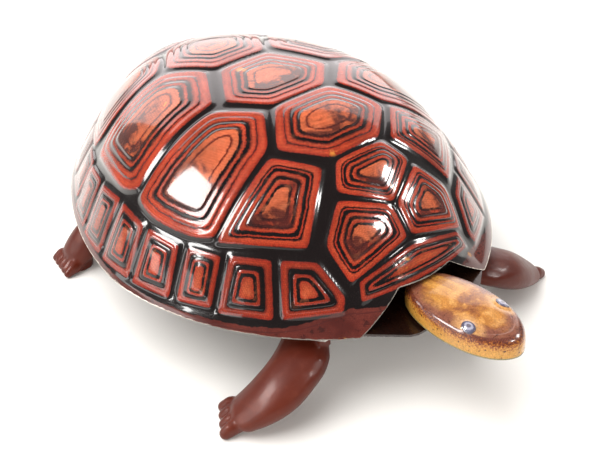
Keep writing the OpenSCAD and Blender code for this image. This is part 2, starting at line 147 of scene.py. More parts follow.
SIDE = [
    ("heavy", [(-9.6, -30.9), (-0.95, -36.0), (-0.85, -40.3), (-13.9, -39.6), (-15, -34.0)]),
    ("heavy", [(-15.2, -17.1), (-8.9, -24.9), (-18.1, -31.7), (-29.4, -18.3)]),
    ("light", [(-16.4, 0.9), (-9.6, -6.9), (-14.5, -14.9), (-29.8, -16.9), (-32.3, -12.8), (-35.0, -2.2), (-34.5, 2.7)]),
    ("light", [(-14.0, 24.5), (-8.9, 15.6), (-15.1, 3.7), (-33.7, 4.9), (-34.7, 9.6), (-31.0, 26.9), (-29.0, 27.6)]),
    ("light", [(-10.0, 33.2), (-14.0, 28.2), (-21.1, 28.8), (-28.3, 31.2), (-29.4, 33.0), (-24.6, 41.5), (-17.8, 47.8), (-8.2, 38.4)]),
    ("plate", [(-22.7, -29.6), (-17.8, -34.3), (-16.0, -40.1), (-17.2, -40.9), (-26.2, -34.0)]),
    ("plate", [(-29.0, -21.6), (-24.2, -28.0), (-27.7, -32.5), (-34.2, -23.6)]),
    ("plate", [(-33.4, -13.4), (-30.4, -19.8), (-34.9, -21.8), (-38.3, -15.0)]),
    ("plate", [(-36.3, -3.0), (-34.5, -11.0), (-39.2, -12.9), (-41.9, -3.4)]),
    ("plate", [(-36.2, 7.4), (-36.5, -1.1), (-42.1, -1.6), (-42.5, 8.4)]),
    ("plate", [(-35.2, 18.6), (-36.0, 9.4), (-42.3, 10.4), (-41.0, 19.8)]),
    ("plate", [(-32.6, 28.6), (-34.7, 20.4), (-40.5, 21.6), (-37.9, 30.4)]),
]


def rear_plates():
    """The rest of the edge row, spaced evenly along the rim to the tail."""
    a = np.linspace(math.radians(90), math.radians(180), 400)
    dx, dy = rim_dir(a)
    s = np.concatenate([[0], np.cumsum(np.hypot(np.diff(dx), np.diff(dy)))])
    start = np.interp(0, [0, 1], [0, 1])
    a_end = None
    for i in range(len(a) - 1, -1, -1):
        if MIDY + dy[i] * 0.97 > 31.6:
            a_end = i
            break
    total = s[a_end]
    n, gap = 5, 1.8
    width = (total - gap * (n - 0.5) - start) / n
    out = []
    lo, hi = float(rho_of_h(np.array(2.3))), float(rho_of_h(np.array(11.2)))
    for k in range(n):
        s0 = gap / 2 + k * (width + gap)
        s1 = s0 + width
        a0, a1 = np.interp([s0, s1], s, a)
        b0, b1 = np.interp([s0 + 0.3, s1 - 0.3], s, a)
        pts = []
        for ang, rho in ((b0, hi), (b1, hi), (a1, lo), (a0, lo)):
            vx, vy = rim_dir(np.array([ang]))
            pts.append((float(vx[0]) * rho, MIDY + float(vy[0]) * rho))
        out.append(("plate", pts))
    return out


def all_plates():
    out = []
    for kind, pts in MIDDLE:
        out.append((kind, pts))
    for kind, pts in SIDE + rear_plates():
        out.append((kind, pts))
        out.append((kind, [(-x, y) for x, y in pts]))
    return out


KINDS = {"plate": 0.0, "long": 0.0, "heavy": 1.0, "light": 2.0}


def plate_fields(P):
    """For points P (n, 3) on the dome: inset distance, share, slope position, plate number, kind."""
    n = len(P)
    D = np.full(n, -9.0)
    S = np.full(n, -1.0)
    E = np.zeros(n)
    I = np.zeros(n)
    K = np.zeros(n)
    for num, (kind, pts) in enumerate(all_plates()):
        q = np.array([on_dome(*p) for p in pts])
        c = q.mean(0)
        far = np.linalg.norm(q - c, axis=1).max()
        near = np.linalg.norm(P - c, axis=1) < far + 3
        idx = np.nonzero(near)[0]
        if not len(idx):
            continue
        p = P[idx]
        total = np.zeros(len(idx))
        k = {"plate": 0.28, "long": 0.25, "heavy": 0.42, "light": 0.55}[kind]
        ds = []
        for i in range(len(q)):
            a, b = q[i], q[(i + 1) % len(q)]
            m = (a + b) / 2
            nn = dome_normal(np.array([m[0]]), np.array([m[1]]))[0]
            w = np.cross(nn, b - a)
            w /= np.linalg.norm(w)
            if np.dot(c - a, w) < 0:
                w = -w
            ds.append((p - a) @ w)
        ds = np.array(ds)
        lo = ds.min(0)
        total = np.exp(-(ds - lo) / k).sum(0)
        d = lo - k * np.log(total) + {"light": 0.45, "heavy": 0.35, "plate": 0.25, "long": 0.25}[kind]
        # a chord lies under a curved edge: keep the plate its drawn size
        dmax = max(d.max(), 0.5)
        better = d > D[idx]
        use = idx[better]
        D[use] = d[better]
        S[use] = d[better] / dmax
        zr = max(np.ptp(q[:, 2]), 3)
        down = c - np.array([0, MIDY, 45])
        down[2] -= 12
        down -= np.dot(down, dome_normal(c[0:1], c[1:2])[0]) * dome_normal(c[0:1], c[1:2])[0]
        if np.linalg.norm(down) > 1e-6:
            down /= np.linalg.norm(down)
        E[use] = ((p[better] - c) @ down) / far
        I[use] = (num * 0.61803) % 1.0
        K[use] = KINDS[kind]
    return D, S, E, I, K


def terraces(d, s, kind):
    """Height of the pressed relief below the dome's own surface, in mm (0 or less)."""
    wall = smoothstep(-0.95, 0.55, d)
    z = -0.62 + 0.43 * wall
    inside = d > 0
    light = [(0.21, 0.05), (0.385, 0.06), (0.54, 0.06)]
    heavy = [(0.225, 0.04), (0.345, 0.05), (0.565, 0.05), (0.755, 0.03)]
    small = [(0.42, 0.09), (0.70, 0.08)]
    for value, steps in ((2.0, light), (1.0, heavy), (0.0, small)):
        sel = inside & (kind == value)
        for at, rise in steps:
            z = np.where(sel, z + rise * smoothstep(at - 0.045, at + 0.045, s), z)
        # a shallow chase line beside each step
        for at, rise in steps:
            z = np.where(sel, z - 0.035 * np.exp(-(((s - at + 0.05) / 0.035) ** 2)), z)
    return np.minimum(z, -0.01)


# ---------------------------------------------------------------- mesh helpers
def link(mesh, name, mats, smooth=True):
    ob = bpy.data.objects.new(name, mesh)
    scene.collection.objects.link(ob)
    for m in mats:
        mesh.materials.append(m)
    if smooth:
        mesh.polygons.foreach_set("use_smooth", [True] * len(mesh.polygons))
    mesh.update()
    return ob


def mesh_of(name, verts_mm, faces, mat_index=None):
    me = bpy.data.meshes.new(name)
    me.from_pydata((np.asarray(verts_mm, float) * MM).tolist(), [], faces)
    if mat_index is not None:
        me.polygons.foreach_set("material_index", mat_index)
    me.validate(clean_customdata=False)
    me.update()
    return me


def attr(me, name, values):
    a = me.attributes.new(name, "FLOAT", "POINT")
    v = np.zeros(len(me.vertices), np.float32)
    v[: len(values)] = values
    a.data.foreach_set("value", v)


def box_bm(bm, lo, hi, mat=0, rot=None, at=None):
    """A thin strip between two corners."""
    r = bmesh.ops.create_cube(bm, size=1)
    vs = r["verts"]
    c = [(a + b) / 2 for a, b in zip(lo, hi)]
    s = [b - a for a, b in zip(lo, hi)]
    for v in vs:
        v.co = Vector([v.co[i] * s[i] + c[i] for i in range(3)])
        if rot is not None:
            v.co = rot @ v.co
        if at is not None:
            v.co += Vector(at)
    for f in set(f for v in vs for f in v.link_faces):
        f.material_index = mat
    return vs


# ---------------------------------------------------------------- node helpers
class Mat:
    def __init__(self, name):
        self.m = bpy.data.materials.new(name)
        self.m.use_nodes = True
        self.t = self.m.node_tree
        self.t.nodes.clear()
        out = self.t.nodes.new("ShaderNodeOutputMaterial")
        self.b = self.t.nodes.new("ShaderNodeBsdfPrincipled")
        self.t.links.new(self.b.outputs[0], out.inputs[0])
        self.coord = self.t.nodes.new("ShaderNodeTexCoord").outputs["Object"]

    def put(self, socket, value):
        if isinstance(value, bpy.types.NodeSocket):
            self.t.links.new(value, socket)
        elif value is not None:
            socket.default_value = value

    def set(self, **kw):
        for k, v in kw.items():
            self.put(self.b.inputs[k.replace("_", " ")], v)
        return self

    def attr(self, name):
        n = self.t.nodes.new("ShaderNodeAttribute")
        n.attribute_name = name
        return n.outputs["Fac"]

    def noise(self, scale, detail=3, rough=0.55, dist=0.0, vec=None, lac=2.0):
        n = self.t.nodes.new("ShaderNodeTexNoise")
        n.inputs["Scale"].default_value = scale
        n.inputs["Detail"].default_value = detail
        n.inputs["Roughness"].default_value = rough
        n.inputs["Distortion"].default_value = dist
        n.inputs["Lacunarity"].default_value = lac
        self.put(n.inputs["Vector"], vec or self.coord)
        return n.outputs["Fac"]

    def voronoi(self, scale, feature="F1", vec=None, out="Distance", rnd=1.0):
        n = self.t.nodes.new("ShaderNodeTexVoronoi")
        n.feature = feature
        n.inputs["Scale"].default_value = scale
        n.inputs["Randomness"].default_value = rnd
        self.put(n.inputs["Vector"], vec or self.coord)
        return n.outputs[out]

    def wave(self, scale, dist=3.0, detail=2.0, dscale=1.0, axis="X", vec=None, rings=False):
        n = self.t.nodes.new("ShaderNodeTexWave")
        if rings:
            n.wave_type = "RINGS"
            n.rings_direction = axis
        else:
            n.bands_direction = axis
        n.inputs["Scale"].default_value = scale
        n.inputs["Distortion"].default_value = dist
        n.inputs["Detail"].default_value = detail
        n.inputs["Detail Scale"].default_value = dscale
        self.put(n.inputs["Vector"], vec or self.coord)
        return n.outputs["Fac"]

    def math(self, op, a, b=None, c=None, clamp=False):
        n = self.t.nodes.new("ShaderNodeMath")
        n.operation = op
        n.use_clamp = clamp
        self.put(n.inputs[0], a)
        if b is not None:
            self.put(n.inputs[1], b)
        if c is not None:
            self.put(n.inputs[2], c)
        return n.outputs[0]

    def step(self, v, a, b, lo=0.0, hi=1.0, kind="SMOOTHSTEP"):
        n = self.t.nodes.new("ShaderNodeMapRange")
        n.interpolation_type = kind
        self.put(n.inputs["Value"], v)
        n.inputs["From Min"].default_value = a
        n.inputs["From Max"].default_value = b
        n.inputs["To Min"].default_value = lo
        n.inputs["To Max"].default_value = hi
        return n.outputs["Result"]

    def ramp(self, v, stops, interp="LINEAR"):
        n = self.t.nodes.new("ShaderNodeValToRGB")
        cr = n.color_ramp
        cr.interpolation = interp
        while len(cr.elements) > 1:
            cr.elements.remove(cr.elements[-1])
        first = True
        for pos, col in stops:
            if first:
                e = cr.elements[0]
                e.position = pos
                first = False
            else:
                e = cr.elements.new(pos)
            col = tuple(col) if not isinstance(col, (int, float)) else (col, col, col)
            e.color = (*col[:3], 1)
        self.put(n.inputs["Fac"], v)
        return n.outputs["Color"]

    def mix(self, f, a, b, mode="MIX"):
        n = self.t.nodes.new("ShaderNodeMix")
        n.data_type = "RGBA"
        n.blend_type = mode
        self.put(n.inputs[0], f)
        for s, v in ((n.inputs[6], a), (n.inputs[7], b)):
            if isinstance(v, (tuple, list)):
                v = (*v[:3], 1)
            self.put(s, v)
        return n.outputs[2]

    def bump(self, h, strength=0.3, distance=0.0002, normal=None):
        n = self.t.nodes.new("ShaderNodeBump")
        n.inputs["Strength"].default_value = strength
        n.inputs["Distance"].default_value = distance
        self.put(n.inputs["Height"], h)
        if normal is not None:
            self.put(n.inputs["Normal"], normal)
        return n.outputs["Normal"]

    def combine(self, x, y, z):
        n = self.t.nodes.new("ShaderNodeCombineXYZ")
        for s, v in zip(n.inputs, (x, y, z)):
            self.put(s, v)
        return n.outputs[0]

    def scaled(self, sx, sy, sz, vec=None, rot=(0, 0, 0)):
        n = self.t.nodes.new("ShaderNodeMapping")
        n.inputs["Scale"].default_value = (sx, sy, sz)
        n.inputs["Rotation"].default_value = rot
        self.put(n.inputs["Vector"], vec or self.coord)
        return n.outputs[0]


BLACK = (0.0048, 0.0022, 0.0022)
RED = (0.37, 0.029, 0.010)
RED2 = (0.50, 0.062, 0.021)
DEEP = (0.125, 0.012, 0.006)
ORANGE = (0.60, 0.125, 0.045)
BROWN = (0.070, 0.013, 0.010)


def litho_shell():
    m = Mat("tin_litho_shell")
    d, s, e = m.attr("d"), m.attr("s"), m.attr("e")
    num, kind, strip = m.attr("num"), m.attr("kind"), m.attr("strip")
    hand = m.noise(260, 3, 0.6)  # hand-drawn wander of the printed lines
    wander = m.step(hand, 0.3, 0.7, -0.02, 0.02, "LINEAR")
    fray = m.step(m.noise(2900, 2, 0.5), 0.3, 0.7, -0.016, 0.016, "LINEAR")
    sw = m.math("ADD", m.math("ADD", s, wander), fray)
    blk, rd, r2, og = BLACK, RED, RED2, ORANGE
    thin = (0.06, 0.012, 0.009)
    light = m.ramp(sw, [
        (0.0, DEEP), (0.035, rd), (0.11, r2), (0.185, rd), (0.200, thin), (0.218, thin), (0.232, rd), (0.28, r2), (0.335, DEEP),
        (0.355, blk), (0.410, blk), (0.430, rd), (0.46, r2), (0.495, DEEP), (0.512, blk), (0.562, blk), (0.585, og), (0.68, og), (0.715, DEEP), (0.735, DEEP), (0.755, og), (1.0, og)])
    heavy = m.ramp(sw, [
        (0.0, DEEP), (0.03, rd), (0.17, r2), (0.200, DEEP), (0.212, blk), (0.240, blk), (0.255, rd), (0.285, rd), (0.300, blk), (0.385, blk),
        (0.402, rd), (0.46, r2), (0.510, DEEP), (0.525, blk), (0.600, blk), (0.618, r2), (0.70, rd), (0.72, blk), (0.785, blk),
        (0.805, og), (1.0, og)])
    low_red, low_red2 = (0.27, 0.018, 0.007), (0.36, 0.036, 0.013)
    small = m.ramp(sw, [
        (0.0, DEEP), (0.05, low_red), (0.20, low_red2), (0.30, DEEP), (0.325, blk), (0.505, blk), (0.53, low_red), (0.62, low_red2), (0.65, blk), (0.765, blk),
        (0.79, low_red2), (1.0, (0.48, 0.085, 0.030))])
    k1 = m.step(kind, 0.4, 0.6, kind="LINEAR")
    k2 = m.step(kind, 1.4, 1.6, kind="LINEAR")
    col = m.mix(k2, m.mix(k1, small, heavy), light)
    # centres: burnt patches towards one end, brighter streaks at the other
    patch = m.noise(210, 4, 0.62, 0.6)
    lean = m.math("ADD", patch, m.math("MULTIPLY", e, 0.42))
    burnt = m.math("MULTIPLY", m.step(lean, 0.43, 0.62), m.step(sw, 0.40, 0.62))
    burnt = m.math("MULTIPLY", burnt, m.math("MULTIPLY", k1, 0.93))
    col = m.mix(burnt, col, BROWN)
    glow = m.math("MULTIPLY", m.step(m.noise(330, 4, 0.6, 0.3), 0.52, 0.74), m.step(sw, 0.5, 0.8, 0.12, 0.75))
    col = m.mix(m.math("MULTIPLY", glow, 0.8), col, (0.60, 0.17, 0.07), "LIGHTEN")
    # the print's uneven ink and its fine dot screen
    ink = m.step(m.noise(120, 4, 0.62), 0.28, 0.72, 0.58, 1.16, "LINEAR")
    col = m.mix(1.0, col, m.combine(ink, ink, ink), "MULTIPLY")
    dots = m.voronoi(3300, rnd=0.45)
    screen = m.step(dots, 0.15, 0.62, 1.16, 0.60, "LINEAR")
    col = m.mix(1.0, col, m.combine(screen, screen, screen), "MULTIPLY")
    # black ground between the plates, with the print bleeding a little at the edges
    edge = m.math("ADD", d, m.step(m.noise(1500, 2, 0.5), 0.3, 0.7, -0.07, 0.07, "LINEAR"))
    on = m.step(edge, -0.06, 0.10)
    dust = m.step(m.noise(1900, 2, 0.5), 0.72, 0.78, 0.0, 0.22)
    ground = m.mix(dust, BLACK, (0.09, 0.05, 0.045))
    col = m.mix(on, ground, col)
    # dull red strip along the rim
    sedge = m.math("ADD", strip, m.step(m.noise(420, 3, 0.6), 0.3, 0.7, -0.22, 0.22, "LINEAR"))
    sm = m.step(sedge, -0.1, 0.1)
    dull = m.mix(m.step(m.noise(160, 4, 0.6), 0.3, 0.7), (0.065, 0.009, 0.006), (0.135, 0.024, 0.016))
    dull = m.mix(m.step(dots, 0.2, 0.6, 0, 0.5), dull, (0.05, 0.011, 0.009))
    dull = m.mix(m.step(m.noise(620, 4, 0.7), 0.56, 0.66, 0, 0.75), dull, (0.022, 0.006, 0.005))
    line = m.math("MULTIPLY", m.step(strip, 0.55, 0.75), m.step(strip, 0.95, 0.75))
    dull = m.mix(m.math("MULTIPLY", line, 0.8), dull, (0.05, 0.01, 0.009))
    col = m.mix(sm, col, dull)
    # scattered golden slips of the printing
    slip = m.voronoi(62, out="Distance")
    slip = m.math("MULTIPLY", m.step(slip, 0.09, 0.05), m.step(m.noise(500, 2, 0.5), 0.48, 0.55))
    col = m.mix(m.math("MULTIPLY", slip, 0.75), col, (0.52, 0.21, 0.03))
    # rubbed bright tin along the very edge
    low = m.attr("low")
    worn = m.math("ADD", low, m.step(m.noise(700, 3, 0.6), 0.3, 0.7, -0.10, 0.10, "LINEAR"))
    bare = m.step(worn, 0.17, 0.10)
    col = m.mix(bare, col, (0.62, 0.55, 0.48))
    rough = m.step(m.noise(140, 4, 0.6), 0.3, 0.7, 0.16, 0.27, "LINEAR")
    scuff = m.step(m.noise(520, 3, 0.7, vec=m.scaled(1, 3.2, 1)), 0.62, 0.78, 0, 0.16)
    rough = m.math("ADD", rough, scuff)
    # bump: crisp pressed steps at the printed lines, ripples of the sheet, lacquer skin
    steps = m.ramp(s, [(0.0, 0.0), (0.19, 0.0), (0.23, 0.25), (0.36, 0.25), (0.40, 0.55), (0.52, 0.55), (0.56, 1.0), (1.0, 1.0)])
    n1 = m.bump(steps, 0.55, 0.00030)
    n2 = m.bump(m.noise(48, 2, 0.5), 0.22, 0.0009, n1)
    n3 = m.bump(m.noise(2600, 2, 0.5), 0.05, 0.00005, n2)
    m.set(Base_Color=col, Roughness=rough, Metallic=m.math("MULTIPLY", bare, 0.9), Normal=n3)
    m.b.inputs["Coat Weight"].default_value = 1.0
    m.b.inputs["Coat Roughness"].default_value = 0.06
    m.b.inputs["Coat IOR"].default_value = 1.36
    m.put(m.b.inputs["Coat Normal"], m.bump(m.noise(60, 2, 0.5), 0.10, 0.0008, n1))
    m.b.inputs["Specular IOR Level"].default_value = 0.18
    return m.m


def metal(name, base, dark, rough=(0.22, 0.42), scale=900, stretch=(1, 1, 1), tarnish=0.5, stain=None, bump=0.08):
    m = Mat(name)
    v = m.scaled(*stretch)
    fine = m.noise(scale, 4, 0.65, vec=v)
    big = m.noise(130, 4, 0.6)
    col = m.mix(m.step(big, 0.35, 0.75, 0, tarnish), base, dark)
    col = m.mix(m.step(fine, 0.45, 0.75, 0, 0.35), col, tuple(c * 0.55 for c in base))
    if stain:
        spot = m.math("MULTIPLY", m.step(m.noise(420, 5, 0.7), 0.60, 0.72), m.step(big, 0.45, 0.7))
        col = m.mix(m.math("MULTIPLY", spot, 0.8), col, stain)
    r = m.step(fine, 0.3, 0.75, rough[0], rough[1], "LINEAR")
    r = m.math("ADD", r, m.step(big, 0.4, 0.8, 0, 0.12))
    m.set(Base_Color=col, Roughness=r, Normal=m.bump(fine, bump, 0.00006))
    m.b.inputs["Metallic"].default_value = 1.0
    return m.m


def tin_base():
    m = Mat("tin_base")
    big, fine = m.noise(120, 4, 0.6), m.noise(1100, 4, 0.6, vec=m.scaled(1, 0.25, 1))
    col = m.mix(m.step(big, 0.35, 0.7), (0.012, 0.0035, 0.002), (0.024, 0.008, 0.004))
    glint = m.math("MULTIPLY", m.step(fine, 0.58, 0.72), m.step(m.noise(240, 3, 0.5), 0.5, 0.66))
    col = m.mix(m.math("MULTIPLY", glint, 0.55), col, (0.30, 0.15, 0.035))
    m.set(Base_Color=col, Roughness=m.step(fine, 0.3, 0.7, 0.20, 0.42, "LINEAR"), Normal=m.bump(fine, 0.08, 0.00008),
          Metallic=m.step(fine, 0.4, 0.7, 0.25, 0.6))
    m.b.inputs["Coat Weight"].default_value = 0.6
    m.b.inputs["Coat Roughness"].default_value = 0.12
    return m.m


def head_litho():
    m = Mat("tin_litho_head")
    hx, hy, ht, hz = m.attr("hx"), m.attr("hy"), m.attr("ht"), m.attr("hz")
    vec = m.combine(m.math("MULTIPLY", hx, 0.001), m.math("MULTIPLY", hy, 0.001), 0.0)
    gold, tan, brown, plum = (0.44, 0.175, 0.030), (0.60, 0.30, 0.090), (0.15, 0.036, 0.012), (0.165, 0.050, 0.038)
    swirl = m.noise(150, 5, 0.6, 1.3, vec=vec)
    col = m.ramp(swirl, [(0.25, brown), (0.40, (0.30, 0.105, 0.026)), (0.50, gold), (0.62, tan), (0.78, (0.68, 0.38, 0.14))])
    # wood-like streaks at the back of the head
    grain = m.noise(420, 4, 0.6, 0.5, vec=m.scaled(1.5, 0.22, 1, vec=vec, rot=(0, 0, 0.5)))
    wood = m.ramp(grain, [(0.32, (0.23, 0.080, 0.014)), (0.46, (0.46, 0.20, 0.035)), (0.58, (0.60, 0.29, 0.055)), (0.72, (0.33, 0.13, 0.025))])
    back = m.step(m.math("ADD", hy, m.step(swirl, 0.3, 0.7, -1.6, 1.6, "LINEAR")), -7.5, -3.0)
    col = m.mix(back, col, wood)
    # purple-brown shading towards the rolled edge and over the brow
    wob = m.step(m.noise(230, 3, 0.6, 0.6, vec=vec), 0.3, 0.7, -0.10, 0.10, "LINEAR")
    tt = m.math("ADD", ht, wob)
    col = m.mix(m.step(tt, 0.52, 0.82, 0, 0.88), col, plum)
    browband = m.math("MULTIPLY", m.step(hy, -12.5, -10.2), m.step(hy, -7.2, -9.4))
    col = m.mix(m.math("MULTIPLY", browband, m.step(swirl, 0.62, 0.42, 0, 0.55)), col, (0.20, 0.065, 0.030))
    # pale ochre rings round the eyes
    for sx in (-1, 1):
        ex = m.math("SUBTRACT", hx, sx * 4.75)
        ey = m.math("SUBTRACT", hy, -14.0)
        rr = m.math("SQRT", m.math("ADD", m.math("POWER", m.math("MULTIPLY", ex, 1.05), 2.0), m.math("POWER", m.math("MULTIPLY", ey, 0.72), 2.0)))
        rr = m.math("ADD", rr, m.math("MULTIPLY", wob, 4.0))
        halo = m.math("MULTIPLY", m.step(rr, 3.3, 1.7), 0.62)
        col = m.mix(halo, col, (0.66, 0.35, 0.12))
    # speckled fade into the yellow side
    sp = m.noise(3000, 2, 0.5)
    spk = m.step(sp, 0.34, 0.66, -0.75, 0.75, "LINEAR")
    hzz = m.math("ADD", hz, spk)
    shoulder = m.ramp(m.step(hzz, 20.3, 23.6, kind="LINEAR"), [(0.0, (0.55, 0.27, 0.048)), (0.30, (0.50, 0.22, 0.040)), (0.5, (0.26, 0.07, 0.018)), (0.74, (0.085, 0.020, 0.012)), (1.0, (0.15, 0.040, 0.026))])
    col = m.mix(m.step(ht, 0.865, 0.90), col, shoulder)
    seam = m.step(hz, 19.35, 19.15)
    col = m.mix(m.math("MULTIPLY", seam, 0.8), col, (0.15, 0.17, 0.085))
    dots = m.step(m.noise(3400, 2, 0.5), 0.3, 0.7, 0.70, 1.18, "LINEAR")
    col = m.mix(1.0, col, m.combine(dots, dots, dots), "MULTIPLY")
    fleck = m.math("MULTIPLY", m.step(m.noise(1700, 2, 0.5), 0.62, 0.70), m.step(ht, 0.45, 0.88, 0.15, 0.9))
    col = m.mix(fleck, col, (0.05, 0.012, 0.008))
    m.set(Base_Color=col, Roughness=m.step(m.noise(300, 4, 0.6), 0.3, 0.7, 0.22, 0.36, "LINEAR"))
    n1 = m.bump(m.noise(90, 3, 0.5), 0.12, 0.0006)
    m.set(Normal=m.bump(m.noise(2400, 2, 0.5), 0.06, 0.00005, n1))
    m.b.inputs["Coat Weight"].default_value = 1.0
    m.b.inputs["Coat Roughness"].default_value = 0.09
    m.b.inputs["Coat IOR"].default_value = 1.36
    m.b.inputs["Specular IOR Level"].default_value = 0.25
    return m.m


def eye_print():
    m = Mat("eye_print")
    er = m.attr("er")
    w = m.math("ADD", er, m.step(m.noise(1500, 2, 0.5), 0.3, 0.7, -0.06, 0.06, "LINEAR"))
    col = m.ramp(w, [(0.0, (0.16, 0.13, 0.15)), (0.22, (0.10, 0.085, 0.12)), (0.36, (0.33, 0.32, 0.40)), (0.55, (0.30, 0.29, 0.38)),
                     (0.66, (0.075, 0.07, 0.12)), (0.88, (0.06, 0.055, 0.085)), (1.0, (0.14, 0.06, 0.045))])
    m.set(Base_Color=col, Roughness=m.step(m.noise(900, 2, 0.5), 0.3, 0.7, 0.15, 0.3, "LINEAR"), Normal=m.bump(m.noise(1800, 2, 0.5), 0.08, 0.00005))
    m.b.inputs["Coat Weight"].default_value = 1.0
    m.b.inputs["Coat Roughness"].default_value = 0.04
    return m.m


def limb_brown():
    m = Mat("limb_brown")
    big, mid = m.noise(70, 4, 0.6), m.noise(420, 4, 0.6)
    col = m.mix(m.step(big, 0.3, 0.7), (0.070, 0.0088, 0.0034), (0.098, 0.0150, 0.0062))
    col = m.mix(m.step(mid, 0.5, 0.75, 0, 0.35), col, (0.150, 0.030, 0.014))
    dust = m.step(m.voronoi(420), 0.055, 0.035, 0, 0.55)
    dust = m.math("MULTIPLY", dust, m.step(m.noise(190, 2, 0.5), 0.52, 0.62))
    col = m.mix(dust, col, (0.34, 0.20, 0.15))
    r = m.step(mid, 0.3, 0.7, 0.34, 0.46, "LINEAR")
    n1 = m.bump(m.noise(240, 3, 0.55), 0.10, 0.0003)
    m.set(Base_Color=col, Roughness=r, Normal=m.bump(m.noise(2100, 3, 0.5), 0.07, 0.00006, n1))
    m.b.inputs["Coat Weight"].default_value = 0.12
    m.b.inputs["Coat Roughness"].default_value = 0.18
    m.b.inputs["Specular IOR Level"].default_value = 0.20
    return m.m


def lacquer(name, c1, c2, rough=(0.22, 0.38), coat=0.5):
    m = Mat(name)
    big, fine = m.noise(110, 4, 0.6), m.noise(1000, 3, 0.6)
    col = m.mix(m.step(big, 0.3, 0.7), c1, c2)
    chip = m.step(m.noise(650, 4, 0.7), 0.70, 0.74)
    col = m.mix(m.math("MULTIPLY", chip, 0.7), col, (0.35, 0.33, 0.30))
    m.set(Base_Color=col, Roughness=m.step(fine, 0.3, 0.7, *rough, "LINEAR"), Normal=m.bump(fine, 0.08, 0.00006))
    m.b.inputs["Coat Weight"].default_value = coat
    m.b.inputs["Coat Roughness"].default_value = 0.1
    return m.m


def rubber():
    m = Mat("rubber_black")
    big, fine = m.noise(160, 4, 0.6), m.noise(1800, 4, 0.7)
    col = m.mix(m.step(big, 0.35, 0.75), (0.012, 0.012, 0.012), (0.035, 0.033, 0.031))
    col = m.mix(m.step(fine, 0.62, 0.8, 0, 0.6), col, (0.09, 0.085, 0.08))
    m.set(Base_Color=col, Roughness=m.step(fine, 0.3, 0.7, 0.55, 0.8, "LINEAR"), Normal=m.bump(fine, 0.25, 0.0001))
    return m.m


MT = {
    "tin_litho_red": litho_shell(),
    "tin_base": tin_base(),
    "head_litho": head_litho(),
    "head_under": lacquer("head_under", (0.33, 0.16, 0.035), (0.46, 0.23, 0.06)),
    "limb_brown": limb_brown(),
    "steel": metal("steel", (0.56, 0.55, 0.53), (0.30, 0.28, 0.26), (0.24, 0.42), 1300, (1, 1, 1), 0.5, (0.16, 0.07, 0.03)),
    "spring_steel": metal("spring_steel", (0.30, 0.32, 0.37), (0.12, 0.12, 0.15), (0.18, 0.36), 1500, (0.15, 1, 1), 0.6, (0.12, 0.07, 0.04)),
    "brass": metal("brass", (0.78, 0.52, 0.19), (0.42, 0.25, 0.08), (0.20, 0.40), 1500, (0.3, 1, 1), 0.55, (0.14, 0.08, 0.03)),
    "tin_plain": metal("tin_plain", (0.62, 0.61, 0.58), (0.40, 0.38, 0.34), (0.26, 0.46), 800, (1, 0.3, 1), 0.45, (0.20, 0.12, 0.06)),
    "wheel_red": lacquer("wheel_red", (0.26, 0.018, 0.012), (0.38, 0.035, 0.018)),
    "rubber_black": rubber(),
}
INSIDE = metal("tin_inside", (0.60, 0.52, 0.36), (0.42, 0.33, 0.20), (0.28, 0.5), 700, (1, 1, 1), 0.6, (0.20, 0.11, 0.05))
BARE = metal("tin_cut_edge", (0.66, 0.62, 0.56), (0.40, 0.35, 0.30), (0.20, 0.38), 1600, (1, 1, 1), 0.3)
EYE = eye_print()


# ---------------------------------------------------------------- shell
ARCH_H, ARCH_W, ARCH_TOP = 7.0, 16.0, 7.0


